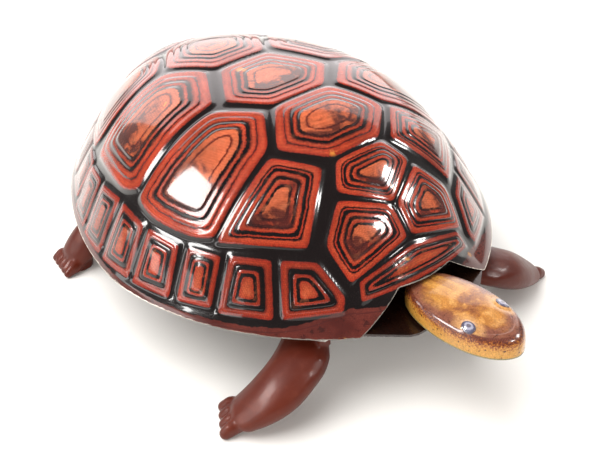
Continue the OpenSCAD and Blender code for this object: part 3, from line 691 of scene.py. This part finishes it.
def make_shell():
    NT, NR, NI = 560, 134, 26
    ang = np.arange(NT) * 2 * math.pi / NT
    dx, dy = rim_dir(ang)
    up = np.where(np.sin(ang) < 0, ARCH_H * np.clip((ARCH_W - np.abs(dx)) / (ARCH_W - ARCH_TOP), 0, 1), 0)
    rlow = rho_of_h(up)
    # ring spacing: even along the flank's arc, with fine rings at the cut edge
    r = np.linspace(0, 1, 2000)
    zz = z_of_rho(r)
    arc = np.concatenate([[0], np.cumsum(np.hypot(np.diff(r) * 48, np.diff(zz)))])
    tot = arc[-1]

    def radii(n, fine=()):
        cols = []
        for k in range(NT):
            top = np.interp(rlow[k], r, arc)
            s = np.concatenate([[top], top - np.array(fine)]) if len(fine) else np.array([top])
            rest = np.linspace(s[-1], tot * 0.012, n - len(s) + 1)[1:]
            cols.append(np.interp(np.concatenate([s, rest]), arc, r))
        return np.array(cols).T  # rings x columns, from the edge up

    Ro = radii(NR, (0.10, 0.22, 0.5))
    X, Y = Ro * dx, MIDY + Ro * dy
    Z = z_of_rho(Ro)
    P = np.stack([X, Y, Z], -1).reshape(-1, 3)
    D, S, E, I, K = plate_fields(P)
    apex = np.array([[0.0, MIDY, RIMZ + DH]])
    N = dome_normal(P[:, 0], P[:, 1])
    H = P[:, 2] - RIMZ
    relief = terraces(D, S, K)
    # the edge itself stays plain and flat
    above = (H.reshape(NR, NT) - up[None]).ravel()
    fade = smoothstep(1.0, 3.6, above)
    relief = relief * fade
    # shallow pressed bead just over the cut edge
    bead = -0.16 * np.exp(-(((above - 1.9) / 0.55) ** 2))
    relief = np.minimum(relief, bead) - 0.012
    Q = P + N * relief[:, None]
    # the apex lies inside the third middle plate
    da, sa, ea, ia, ka = plate_fields(apex)
    za = float(terraces(da, sa, ka)[0])
    # a strip of dull red along the rim, wider at the front corners
    xr = np.abs(dx)
    corner = np.where(np.sin(ang) < 0, smoothstep(34, 15.5, xr), 0)
    width = 1.25 + 0.25 * np.sin(ang * 3 + 1) + 3.4 * corner**1.6
    inside_arch = (np.sin(ang) < 0) & (xr < ARCH_W)
    width = np.where(inside_arch, 4.7, width)
    strip = (width[None] - H.reshape(NR, NT)).ravel()
    low = above.copy()
    # inner skin
    Ri = radii(NI)
    Xi, Yi = Ri * dx, MIDY + Ri * dy
    Pi = np.stack([Xi, Yi, z_of_rho(Ri)], -1).reshape(-1, 3)
    Hi = (Pi[:, 2].reshape(NI, NT) - RIMZ - up[None]).ravel()
    off = 0.42 + 0.78 * smoothstep(0.8, 4.5, Hi)
    Ni = dome_normal(Pi[:, 0], Pi[:, 1])
    flat = Ni.copy()
    flat[:, 2] = 0
    flat /= np.maximum(np.linalg.norm(flat, axis=1, keepdims=True), 1e-6)
    edge = smoothstep(2.5, 0.0, Hi)[:, None]
    Ni = Ni * (1 - edge) + flat * edge
    Ni /= np.linalg.norm(Ni, axis=1, keepdims=True)
    Qi = Pi - Ni * off[:, None]
    Qi[:, 2] = np.maximum(Qi[:, 2], RIMZ + 0.0)
    verts = np.concatenate([Q, apex + [[0, 0, za]], Qi, apex - [[0, 0, 1.2]]])
    no, ap = NR * NT, NR * NT
    base_i = no + 1
    api = base_i + NI * NT
    faces, mats = [], []
    for i in range(NR - 1):
        for k in range(NT):
            k2 = (k + 1) % NT
            faces.append((i * NT + k, i * NT + k2, (i + 1) * NT + k2, (i + 1) * NT + k))
            mats.append(0)
    for k in range(NT):
        faces.append(((NR - 1) * NT + k, (NR - 1) * NT + (k + 1) % NT, ap))
        mats.append(0)
    for i in range(NI - 1):
        for k in range(NT):
            k2 = (k + 1) % NT
            a = base_i + i * NT
            faces.append((a + k2, a + k, a + NT + k, a + NT + k2))
            mats.append(1)
    for k in range(NT):
        a = base_i + (NI - 1) * NT
        faces.append((a + (k + 1) % NT, a + k, api))
        mats.append(1)
    for k in range(NT):
        k2 = (k + 1) % NT
        faces.append((k2, k, base_i + k, base_i + k2))
        mats.append(2)
    me = mesh_of("shell_pressing", verts, faces, mats)
    attr(me, "d", np.append(D, da[0]))
    attr(me, "s", np.append(S, sa[0]))
    attr(me, "e", np.append(E, ea[0]))
    attr(me, "num", np.append(I, ia[0]))
    attr(me, "kind", np.append(K, ka[0]))
    attr(me, "strip", np.append(strip, -30))
    lowv = np.full(len(verts), 9.0)
    lowv[: len(low)] = low
    attr(me, "low", lowv)
    bm = bmesh.new()
    bm.from_mesh(me)
    # punched hole for the key's sleeve, in the left flank
    hy, hz, hr = 30.344 * MM, 27.0 * MM, 2.7 * MM
    bm.faces.ensure_lookup_table()
    gone = [f for f in bm.faces if f.calc_center_median().x > 0.02 and math.hypot(f.calc_center_median().y - hy, f.calc_center_median().z - hz) < hr]
    bmesh.ops.delete(bm, geom=gone, context="FACES")
    rim = [e for e in bm.edges if e.is_boundary]
    for v in set(v for e in rim for v in e.verts):
        q = Vector((0, v.co.y - hy, v.co.z - hz))
        k = hr / max(q.length, 1e-9)
        v.co.y, v.co.z = hy + q.y * k, hz + q.z * k
    ring = bmesh.ops.bridge_loops(bm, edges=rim)
    for f in ring["faces"]:
        f.material_index = 2
    bmesh.ops.recalc_face_normals(bm, faces=bm.faces)
    # folded tabs under the base plate
    for deg in (0, 45, 90, 135, 180, 216, 324):
        a = math.radians(deg)
        px, py = rim_dir(np.array([a, a + 0.017, a - 0.017]))
        t = math.atan2(py[1] - py[2], px[1] - px[2])
        rot = Matrix.Rotation(t, 3, "Z")
        bt = bmesh.new()
        box_bm(bt, (-2.15 * MM, 0.36 * MM, -0.19 * MM), (2.15 * MM, 4.6 * MM, 0.06 * MM), 2)
        bmesh.ops.bevel(bt, geom=bt.edges[:], offset=0.06 * MM, segments=2, affect="EDGES")
        for v in bt.verts:
            v.co = rot @ v.co + Vector((px[0] * MM, (MIDY + py[0]) * MM, RIMZ * MM))
        for f in bt.faces:
            f.material_index = 2
        tmp = bpy.data.meshes.new("tab")
        bt.to_mesh(tmp)
        bt.free()
        bm.from_mesh(tmp)
        bpy.data.meshes.remove(tmp)
    bm.to_mesh(me)
    bm.free()
    ob = link(me, "shell_pressing", [MT["tin_litho_red"], INSIDE, BARE])
    me.set_sharp_from_angle(angle=math.radians(50))
    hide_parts("shell")
    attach(ob, "chassis")
    return ob


make_shell()


# ---------------------------------------------------------------- head
HEAD_YAW = math.radians(5.01)
HEAD_AT = Vector((0, -46.0, 0))
HF, HR, HW = 22.5, 5.0, 7.0


def head_outline(k, n, g=0.0):
    """Plan of the head: a rounded point at the nose, a broad round back."""
    a = np.arange(n) * 2 * math.pi / n
    L, c = (HF + HR) / 2 - g, (HR - HF) / 2
    u = np.sign(np.sin(a)) * np.abs(np.sin(a)) ** 0.95
    nose = np.clip(-u, 0, 1)
    w = np.sign(np.cos(a)) * np.abs(np.cos(a)) ** (0.90 + 0.17 * nose**1.5)
    back = np.clip(u, 0, 1)
    return (HW - g) * k * w * (1 - 0.05 * back), c + L * k * u


def head_world(p):
    c, s = math.cos(HEAD_YAW), math.sin(HEAD_YAW)
    q = p.copy()
    q[:, 0] = c * p[:, 0] - s * p[:, 1] + HEAD_AT.x
    q[:, 1] = s * p[:, 0] + c * p[:, 1] + HEAD_AT.y
    return q


def smooth_profile(pts, n):
    """Catmull-Rom through the profile points."""
    p = np.array([pts[0], *pts, pts[-1]], float)
    out = []
    m = len(pts) - 1
    for i in range(m):
        for t in np.linspace(0, 1, n, endpoint=False):
            a, b, c, d = p[i], p[i + 1], p[i + 2], p[i + 3]
            out.append(0.5 * (2 * b + (c - a) * t + (2 * a - 5 * b + 4 * c - d) * t**2 + (3 * b - a - 3 * c + d) * t**3))
    out.append(p[-2])
    return np.array(out)


def make_head():
    N = 220
    prof = smooth_profile([(0.998, 18.92), (0.998, 19.7), (0.997, 20.6), (0.990, 21.35), (0.974, 21.98), (0.946, 22.52), (0.908, 22.90),
                           (0.865, 23.14), (0.815, 23.33), (0.76, 23.48), (0.68, 23.66), (0.55, 23.90), (0.38, 24.12), (0.2, 24.24), (0.04, 24.27)], 5)
    rows, T = [], []
    for k, z in prof:
        x, y = head_outline(k, N, 0.02)
        rows.append(np.stack([x, y, np.full(N, z)], -1))
        T.append(np.full(N, k))
    out = np.concatenate(rows)
    T = np.concatenate(T)
    x, y, z = out.T
    # fine pressed lines: the mouth edge at the front, a low brow and shallow cheeks
    front = smoothstep(-12.0, -17.0, y)
    z = z - 0.10 * np.exp(-(((T - 0.80) / 0.020) ** 2)) * front
    z = z + 0.05 * np.exp(-(((T - 0.76) / 0.03) ** 2)) * front
    z = z - 0.22 * np.exp(-((x / 2.3) ** 2)) * np.exp(-(((y + 16.5) / 3.0) ** 2)) * (T < 0.8)
    for sx in (-1, 1):
        rr = np.hypot((x - sx * 4.75) / 1.25, (y + 14.0) / 1.75)
        z = z + 0.26 * np.exp(-((rr / 1.0) ** 4)) * smoothstep(0.92, 0.80, T)
        z = z - 0.10 * np.exp(-(((rr - 1.35) / 0.28) ** 2)) * smoothstep(0.92, 0.80, T)
    z = np.minimum(z, 24.29)
    out = np.stack([x, y, z], -1)
    M = len(prof)
    inner = []
    prof_in = [(0.998, 18.92), (0.998, 20.3), (0.985, 21.2), (0.94, 22.1), (0.86, 22.5), (0.7, 23.0), (0.4, 23.6), (0.05, 23.75)]
    for k, z0 in prof_in:
        xi, yi = head_outline(k, N, 0.47)
        inner.append(np.stack([xi, yi, np.full(N, z0)], -1))
    inn = np.concatenate(inner)
    top = np.array([[0, (HR - HF) / 2, 24.275]])
    itop = np.array([[0, (HR - HF) / 2, 23.76]])
    V = np.concatenate([out, top, inn, itop])
    faces, mats = [], []
    for i in range(M - 1):
        for k in range(N):
            k2 = (k + 1) % N
            faces.append((i * N + k, i * N + k2, (i + 1) * N + k2, (i + 1) * N + k))
            mats.append(0)
    ap = M * N
    for k in range(N):
        faces.append(((M - 1) * N + k, (M - 1) * N + (k + 1) % N, ap))
        mats.append(0)
    b = M * N + 1
    MI = len(prof_in)
    for i in range(MI - 1):
        for k in range(N):
            k2 = (k + 1) % N
            a = b + i * N
            faces.append((a + k2, a + k, a + N + k, a + N + k2))
            mats.append(1)
    ai = b + MI * N
    for k in range(N):
        a = b + (MI - 1) * N
        faces.append((a + (k + 1) % N, a + k, ai))
        mats.append(1)
    for k in range(N):
        k2 = (k + 1) % N
        faces.append((k2, k, b + k, b + k2))
        mats.append(2)
    me = mesh_of("head_pressing", head_world(V), faces, mats)
    attr(me, "hx", V[:, 0])
    attr(me, "hy", V[:, 1])
    attr(me, "hz", V[:, 2])
    attr(me, "ht", np.append(T, 0))
    ob = link(me, "head_pressing", [MT["head_litho"], INSIDE, BARE])
    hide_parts("head_upper")
    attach(ob, "head")
    # printed and embossed eyes: small domed ovals on the swelling
    for name, sx in (("eye_right", -1), ("eye_left", 1)):
        NA, NRR = 48, 12
        vs, er = [], []
        cx, cy = sx * 4.75, -14.0

        def surf(px, py):
            d2 = (x - px) ** 2 + (y - py) ** 2
            i = np.argsort(d2)[:8]
            w = 1 / (d2[i] + 1e-4)
            return float((z[i] * w).sum() / w.sum())

        for j in range(NRR + 1):
            q = j / NRR
            for k in range(NA):
                a = 2 * math.pi * k / NA
                px, py = cx + 1.10 * q * math.cos(a), cy + 1.58 * q * math.sin(a)
                lift = 0.05 + 0.13 * math.sqrt(max(0, 1 - q * q)) - 0.05 * math.exp(-(((q - 0.66) / 0.12) ** 2))
                if j == NRR:
                    lift = -0.06
                vs.append((px, py, surf(px, py) + lift))
                er.append(q)
        fs = []
        for j in range(1, NRR):
            for k in range(NA):
                k2 = (k + 1) % NA
                fs.append((j * NA + k2, j * NA + k, (j + 1) * NA + k, (j + 1) * NA + k2)[::-1])
        # centre fan and a closed underside
        nv = len(vs)
        vs.append((cx, cy, surf(cx, cy) + 0.18))
        er.append(0)
        for k in range(NA):
            fs.append((NA + k, NA + (k + 1) % NA, nv))
        vs.append((cx, cy, surf(cx, cy) - 0.12))
        er.append(1)
        for k in range(NA):
            fs.append((NRR * NA + (k + 1) % NA, NRR * NA + k, nv + 1))
        vv = head_world(np.array(vs))
        me = mesh_of(name, vv, fs)
        attr(me, "er", np.array(er))
        bm = bmesh.new()
        bm.from_mesh(me)
        bmesh.ops.delete(bm, geom=[v for v in bm.verts if not v.link_faces], context="VERTS")
        bmesh.ops.recalc_face_normals(bm, faces=bm.faces)
        bm.to_mesh(me)
        bm.free()
        e = link(me, name, [EYE])
        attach(e, "head")


make_head()


def make_pan():
    """Flat pan crimped into the head, with its rivet holes."""
    N = 160
    x, y = head_outline(1, N, 0.56)
    bm = bmesh.new()
    loops = [list(zip(x, y))]
    loops.append([(2.9 * math.cos(t), 2.9 * math.sin(t)) for t in np.arange(40) * 2 * math.pi / 40])
    for hy in (-8, -15):
        loops.append([(0.8 * math.cos(t), hy + 0.8 * math.sin(t)) for t in np.arange(24) * 2 * math.pi / 24])
    edges = []
    for lp in loops:
        vs = [bm.verts.new((px, py, 18.9)) for px, py in lp]
        edges += [bm.edges.new((vs[i], vs[(i + 1) % len(vs)])) for i in range(len(vs))]
    bmesh.ops.triangle_fill(bm, use_beauty=True, edges=edges)
    top = bmesh.ops.extrude_face_region(bm, geom=bm.faces[:])
    for v in (g for g in top["geom"] if isinstance(g, bmesh.types.BMVert)):
        v.co.z = 19.4
    bmesh.ops.recalc_face_normals(bm, faces=bm.faces)
    me = bpy.data.meshes.new("head_pan")
    bm.to_mesh(me)
    bm.free()
    co = np.empty(len(me.vertices) * 3)
    me.vertices.foreach_get("co", co)
    me.vertices.foreach_set("co", (head_world(co.reshape(-1, 3)) * MM).ravel())
    me.update()
    ob = link(me, "head_pan", [MT["head_under"]], smooth=False)
    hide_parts("head_lower")
    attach(ob, "head")


make_pan()


# ---------------------------------------------------------------- limbs
FX, FY, RX, RY, LEVER, REST = 19.0, 31.0, 22.0, 28.0, 6.5, 8.75


def pad_points(p, a, k, n=20):
    th = np.linspace(0, math.pi, n // 2 + 1)
    ph = np.arange(n) * 2 * math.pi / n
    s = np.array([[math.sin(t) * math.cos(f), math.sin(t) * math.sin(f), math.cos(t)] for t in th for f in ph])
    s = s * np.array(k)
    c, sn = math.cos(math.radians(a)), math.sin(math.radians(a))
    r = np.stack([c * s[:, 0] - sn * s[:, 1], sn * s[:, 0] + c * s[:, 1], s[:, 2]], -1)
    return r + np.array(p)


def hull_into(bm, pts):
    b = bmesh.new()
    vs = [b.verts.new(Vector(p)) for p in pts]
    r = bmesh.ops.convex_hull(b, input=vs)
    bad = [g for g in r["geom_interior"] + r["geom_unused"] if isinstance(g, bmesh.types.BMVert)]
    bmesh.ops.delete(b, geom=list(set(bad)), context="VERTS")
    tmp = bpy.data.meshes.new("h")
    b.to_mesh(tmp)
    b.free()
    bm.from_mesh(tmp)
    bpy.data.meshes.remove(tmp)


def cylinder_mesh(name, at, r, z0, z1, n=64):
    me = bpy.data.meshes.new(name)
    b = bmesh.new()
    bmesh.ops.create_cone(b, cap_ends=True, segments=n, radius1=r, radius2=r, depth=z1 - z0)
    for v in b.verts:
        v.co += Vector((at[0], at[1], (z0 + z1) / 2))
    b.to_mesh(me)
    b.free()
    return me


def seg_hull(bm, a, b):
    hull_into(bm, np.concatenate([pad_points(*a), pad_points(*b)]))


def limb_form(front, side):
    """Working mesh of one right-hand limb about its pivot, in mm."""
    bm = bmesh.new()
    if front:
        chain = [((-0.5, -0.8, 13.9), 60, (3.7, 3.7, 1.6)), ((-4.3, -6.3, 12.0), 40, (5.3, 5.5, 2.5)), ((-8.0, -8.0, 9.9), 25, (5.1, 5.7, 2.7)),
                 ((-11.4, -8.2, 7.4), 8, (4.5, 5.8, 2.8)), ((-14.3, -7.3, 5.1), -6, (3.9, 5.5, 2.7)), ((-16.8, -6.0, 3.2), -20, (3.3, 5.1, 2.3))]
        toes = [(i, np.array([-19.2, -4.4, 1.75]) + i * np.array([0.95, 2.1, 0]), np.array([-21.0, -3.6, 1.05]) + i * np.array([0.95, 2.3, 0])) for i in (-1.5, -0.5, 0.5, 1.5)]
        wrist = np.array([-16.0, -6.3, 3.6])
        rot = -20
        tr, kr = (1.75, 1.28, 1.60), (1.35, 1.25, 1.25)
    else:
        chain = [((-0.8, 0.6, 13.9), 60, (3.3, 3.1, 1.6)), ((-5.5, 3.9, 12.3), 20, (3.7, 4.1, 2.3)), ((-8.4, 5.6, 10.6), 8, (3.5, 4.2, 2.4)),
                 ((-11.1, 7, 8.2), 0, (3.3, 4.1, 2.5)), ((-12.9, 7.9, 5.9), 0, (3.3, 4.2, 2.6)), ((-14.4, 8.6, 3.6), 0, (3.2, 4.2, 2.6))]
        toes = [(i, np.array([-16.8, 9.5, 1.75]) + i * np.array([0.4, 1.75, 0]), np.array([-18.7, 10.2, 1.0]) + i * np.array([0.5, 1.85, 0])) for i in (-2, -1, 0, 1, 2)]
        wrist = np.array([-14.0, 8.4, 3.6])
        rot = -8
        tr, kr = (1.5, 1.02, 1.35), (1.15, 0.95, 1.1)
    if front and side > 0:
        # the far hand rests a little further back, and flatter
        chain = [((p[0], p[1] + 2.6 * smoothstep(3.0, 15.0, -p[0]), p[2]), ang + 8 * smoothstep(3.0, 15.0, -p[0]), (k[0], k[1] * 1.06, k[2])) for p, ang, k in chain]
        toes = [(i, a + np.array([0.5, 2.9 + 0.25 * i, 0]), b + np.array([0.3, 3.2 + 0.35 * i, 0])) for i, a, b in toes]
        wrist = wrist + np.array([0.1, 2.7, 0])
        tr, kr = (1.75, 1.40, 1.55), (1.35, 1.35, 1.25)
    cp = np.array([[*p, ang, *k] for p, ang, k in chain], float)
    cp = np.concatenate([cp[:1], cp, cp[-1:]])
    fine = []
    for i in range(1, len(cp) - 2):
        for t in (0, 0.34, 0.67):
            p0, p1, p2, p3 = cp[i - 1], cp[i], cp[i + 1], cp[i + 2]
            fine.append(0.5 * (2 * p1 + (p2 - p0) * t + (2 * p0 - 5 * p1 + 4 * p2 - p3) * t * t + (3 * p1 - p0 - 3 * p2 + p3) * t**3))
    fine.append(cp[-2])
    fine = [(f[:3], f[3], f[4:7]) for f in fine]
    for a, b in zip(fine, fine[1:]):
        seg_hull(bm, a, b)
    for i, root, tip in toes:
        out = (tip - root) * np.array([1, 1, 0])
        out /= np.linalg.norm(out)
        knuckle = root + out * 0.2 + np.array([0, 0, 0.25])
        end = tip - out * 0.35
        hull_into(bm, np.concatenate([pad_points(wrist + (root - wrist) * 0.3 + np.array([0, 0, -0.2]), rot, (1.3, 1.0, 1.5)), pad_points(knuckle, rot, tr)]))
        hull_into(bm, np.concatenate([pad_points(knuckle, rot, tr), pad_points(end, rot, kr)]))
    palm = [pad_points(wrist, rot, (2.6, 3.4, 1.9))] + [pad_points(r + np.array([0.1, 0, -0.3]), rot, (1.2, 1.1, 1.0)) for _, r, _ in toes]
    hull_into(bm, np.concatenate(palm))
    # sole pad
    sx, sy = (-16.8, -4.9 + (2.4 if side > 0 else 0)) if front else (-14.6, 8.4)
    b = cylinder_mesh("s", (sx, sy), 3.0, 0.0, 1.6, 40)
    bm.from_mesh(b)
    bpy.data.meshes.remove(b)
    b = cylinder_mesh("h", (0, 0), 4.35, 12.32, 16.08, 64)
    bm.from_mesh(b)
    bpy.data.meshes.remove(b)
    sgn = -1 if front else 1
    box_bm(bm, (-1.4, min(0, sgn * (LEVER + 1.35)), 13.42), (1.4, max(0, sgn * (LEVER + 1.35)), 16.08))
    me = bpy.data.meshes.new("limb")
    bm.to_mesh(me)
    bm.free()
    return me


def apply_mods(ob):
    dg = bpy.context.evaluated_depsgraph_get()
    me = bpy.data.meshes.new_from_object(ob.evaluated_get(dg))
    ob.modifiers.clear()
    old = ob.data
    ob.data = me
    bpy.data.meshes.remove(old)


def relax(ob, rounds, weight):
    me = ob.data
    n = len(me.vertices)
    co = np.empty(n * 3)
    me.vertices.foreach_get("co", co)
    co = co.reshape(-1, 3)
    ed = np.empty(len(me.edges) * 2, int)
    me.edges.foreach_get("vertices", ed)
    ed = ed.reshape(-1, 2)
    deg = np.bincount(ed.ravel(), minlength=n).astype(float)[:, None]
    w = weight(co)[:, None]
    for i in range(rounds):
        for lam in (0.6, -0.35):
            s = np.zeros_like(co)
            np.add.at(s, ed[:, 0], co[ed[:, 1]])
            np.add.at(s, ed[:, 1], co[ed[:, 0]])
            co = co + lam * w * (s / np.maximum(deg, 1) - co)
    me.vertices.foreach_set("co", co.ravel())
    me.update()
    return co


def make_limb(name, node, body, front, side, pivot):
    me = limb_form(front, side)
    ob = bpy.data.objects.new(name, me)
    scene.collection.objects.link(ob)
    mod = ob.modifiers.new("r", "REMESH")
    mod.mode = "VOXEL"
    mod.voxel_size = 0.30
    mod.adaptivity = 0
    apply_mods(ob)
    relax(ob, 9, lambda c: smoothstep(13.3, 11.6, c[:, 2]) * 0.95 + 0.05)
    # flat on the floor, and no higher than the frame allows
    me = ob.data
    co = np.empty(len(me.vertices) * 3)
    me.vertices.foreach_get("co", co)
    co = co.reshape(-1, 3)
    co[:, 2] = np.clip(co[:, 2], 0.0, 16.08)
    low = co[:, 2] < 0.12
    co[low, 2] = 0.0
    me.vertices.foreach_set("co", co.ravel())
    me.update()
    cutters = []

    def boolean(cut, op):
        c = bpy.data.objects.new("cut", cut)
        scene.collection.objects.link(c)
        m = ob.modifiers.new("b", "BOOLEAN")
        m.operation = op
        m.solver = "EXACT"
        m.object = c
        cutters.append(c)

    sgn = -1 if front else 1
    boolean(cylinder_mesh("c1", (0, 0), 3.12, 4.0, 12.30), "DIFFERENCE")
    boolean(cylinder_mesh("c2", (0, 0), 1.57, 10.0, 18.0), "DIFFERENCE")
    boolean(cylinder_mesh("c3", (0, sgn * LEVER), 0.79, 15.7, 17.34, 40), "UNION")
    apply_mods(ob)
    for c in cutters:
        bpy.data.objects.remove(c)
    me = ob.data
    bm = bmesh.new()
    bm.from_mesh(me)
    # keep the one main body
    bmesh.ops.remove_doubles(bm, verts=bm.verts, dist=0.01)
    seen, parts = set(), []
    for v in bm.verts:
        if v in seen:
            continue
        stack, part = [v], []
        seen.add(v)
        while stack:
            q = stack.pop()
            part.append(q)
            for e in q.link_edges:
                o = e.other_vert(q)
                if o not in seen:
                    seen.add(o)
                    stack.append(o)
        parts.append(part)
    parts.sort(key=len, reverse=True)
    for p in parts[1:]:
        bmesh.ops.delete(bm, geom=p, context="VERTS")
    a = math.radians(-REST if front else REST)
    rot = Matrix.Rotation(a, 4, "Z")
    for v in bm.verts:
        c = v.co.copy()
        if side > 0:
            c.x = -c.x
        c = rot @ c
        v.co = (c + Vector((pivot[0], pivot[1], 0))) * MM
    if side > 0:
        bmesh.ops.reverse_faces(bm, faces=bm.faces)
    bm.to_mesh(me)
    bm.free()
    me.materials.clear()
    me.materials.append(MT["limb_brown"])
    me.polygons.foreach_set("use_smooth", [True] * len(me.polygons))
    me.set_sharp_from_angle(angle=math.radians(48))
    me.update()
    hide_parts(node)
    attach(ob, body)
    return ob


make_limb("limb_front_right", "front_right_leg", "leg_front_right", True, -1, (-FX, -FY))
make_limb("limb_front_left", "front_left_leg", "leg_front_left", True, 1, (FX, -FY))
make_limb("limb_rear_right", "rear_right_leg", "leg_rear_right", False, -1, (-RX, RY))
make_limb("limb_rear_left", "rear_left_leg", "leg_rear_left", False, 1, (RX, RY))


# ---------------------------------------------------------------- tyres with a moulded tread
def make_tyre(name, node):
    lo, hi = (v * 1000 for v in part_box(node))
    cy, cz = (lo.y + hi.y) / 2, (lo.z + hi.z) / 2
    R = (hi.z - lo.z) / 2
    w0, w1 = lo.x, hi.x
    rin = 6.32
    mid, half = (w0 + w1) / 2, (w1 - w0) / 2
    prof = [(-1, rin), (-1, rin + 0.5), (-1.0, R - 0.75), (-0.93, R - 0.38), (-0.78, R - 0.12), (-0.55, R), (0.55, R), (0.78, R - 0.12), (0.93, R - 0.38), (1.0, R - 0.75), (1, rin + 0.5), (1, rin)]
    N = 192
    V, F = [], []
    for i in range(N):
        a = 2 * math.pi * i / N
        for u, r in prof:
            if abs(u) <= 0.8 and (i % 6) in (0, 1):
                r = r - 0.28
            V.append((mid + u * half, cy + r * math.cos(a), cz + r * math.sin(a)))
    m = len(prof)
    for i in range(N):
        j = (i + 1) % N
        for k in range(m):
            k2 = (k + 1) % m
            F.append((i * m + k, i * m + k2, j * m + k2, j * m + k))
    me = mesh_of(name, np.array(V), F)
    bm = bmesh.new()
    bm.from_mesh(me)
    bmesh.ops.recalc_face_normals(bm, faces=bm.faces)
    bm.to_mesh(me)
    bm.free()
    ob = link(me, name, [MT["rubber_black"]])
    me.set_sharp_from_angle(angle=math.radians(40))
    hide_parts(node)
    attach(ob, "drive")


make_tyre("tread_right", "tyre_right")
make_tyre("tread_left", "tyre_left")


# ---------------------------------------------------------------- CAD nodes keep their shape, with finished materials
slots = {s["node"]: s["material_slot"] for s in frame["record"]["subparts"]} if "subparts" in frame["record"] else {}
GUESS = {"brass": ("gear", "great", "star", "ratchet", "cam"), "spring_steel": ("mainspring", "click_spring")}
for name, ob in frame["nodes"].items():
    if ob.hide_render:
        continue
    slot = slots.get(name)
    if slot not in MT:
        slot = next((k for k, words in GUESS.items() if any(w in name for w in words)), "steel")
    ob.data.materials.clear()
    ob.data.materials.append(MT[slot])
    ob.data.polygons.foreach_set("material_index", [0] * len(ob.data.polygons))


# ---------------------------------------------------------------- floor and light
def floor():
    me = bpy.data.meshes.new("floor")
    s = 4.0
    me.from_pydata([(-s, -s, 0), (s, -s, 0), (s, s, 0), (-s, s, 0)], [], [(0, 1, 2, 3)])
    m = Mat("paper")
    n = m.noise(14, 3, 0.5)
    col = m.mix(m.step(n, 0.3, 0.7), (0.86, 0.845, 0.82), (0.885, 0.87, 0.85))
    m.set(Base_Color=col, Roughness=m.step(m.noise(200, 2, 0.5), 0.3, 0.7, 0.6, 0.75, "LINEAR"))
    m.b.inputs["Specular IOR Level"].default_value = 0.25
    ob = link(me, "floor", [m.m], smooth=False)


floor()


def softbox(name, direction, dist, size, radiance, color=(1, 1, 1), glossy=True, target=(0, 0, 0.02), diffuse=True):
    d = Vector(direction).normalized()
    data = bpy.data.lights.new(name, "AREA")
    data.shape = "RECTANGLE"
    data.size, data.size_y = size
    # radiance of an area lamp = energy / (pi * area)
    data.energy = radiance * math.pi * size[0] * size[1]
    data.color = color
    ob = bpy.data.objects.new(name, data)
    ob.location = Vector(target) + d * dist
    ob.rotation_mode = "QUATERNION"
    ob.rotation_quaternion = (-d).to_track_quat("-Z", "Y")
    ob.visible_glossy = glossy
    ob.visible_diffuse = diffuse
    scene.collection.objects.link(ob)
    return ob


def lights():
    w = bpy.data.worlds.new("studio")
    scene.world = w
    w.use_nodes = True
    bg = w.node_tree.nodes["Background"]
    bg.inputs[0].default_value = (1.0, 0.99, 0.975, 1)
    bg.inputs[1].default_value = 0.25
    # broad light from above, for the soft shadow; it doesn't show in the lacquer
    softbox("overhead", (-0.35, 0.25, 1.0), 0.9, (1.1, 1.1), 4.3, (1, 0.985, 0.96), glossy=False)
    # pale wall behind the toy, seen in the top of the shell
    softbox("back_wall", (0.50, 0.80, 0.42), 0.8, (1.5, 0.62), 2.3, (1.0, 0.93, 0.93), diffuse=False)
    # small windows that make the sharp highlights
    softbox("window_side", (-0.77, 0.30, 0.57), 0.7, (0.27, 0.235), 27, (1, 0.99, 0.97), diffuse=False)
    softbox("window_side_low", (-0.88, 0.10, 0.47), 0.7, (0.03, 0.24), 34, (1, 0.99, 0.97), diffuse=False)
    softbox("window_front", (0.19, -0.72, 0.66), 0.7, (0.14, 0.09), 48, (1, 0.99, 0.97), diffuse=False)
    softbox("window_right", (0.69, -0.37, 0.62), 0.7, (0.16, 0.14), 48, (1, 0.99, 0.97), diffuse=False)
    softbox("floor_glow", (-0.97, 0.22, 0.12), 0.8, (0.9, 0.07), 5, (1, 0.98, 0.96), diffuse=False)
    softbox("front_fill", (-0.35, -0.85, 0.45), 1.0, (1.0, 0.6), 2.4, (1, 0.97, 0.93), glossy=False)
    softbox("left_fill", (-0.95, 0.1, 0.35), 1.0, (0.9, 0.5), 1.25, (1, 0.98, 0.96), glossy=False)
    softbox("right_fill", (0.95, -0.2, 0.45), 1.0, (0.9, 0.5), 2.5, (1, 0.98, 0.96), glossy=False)


lights()
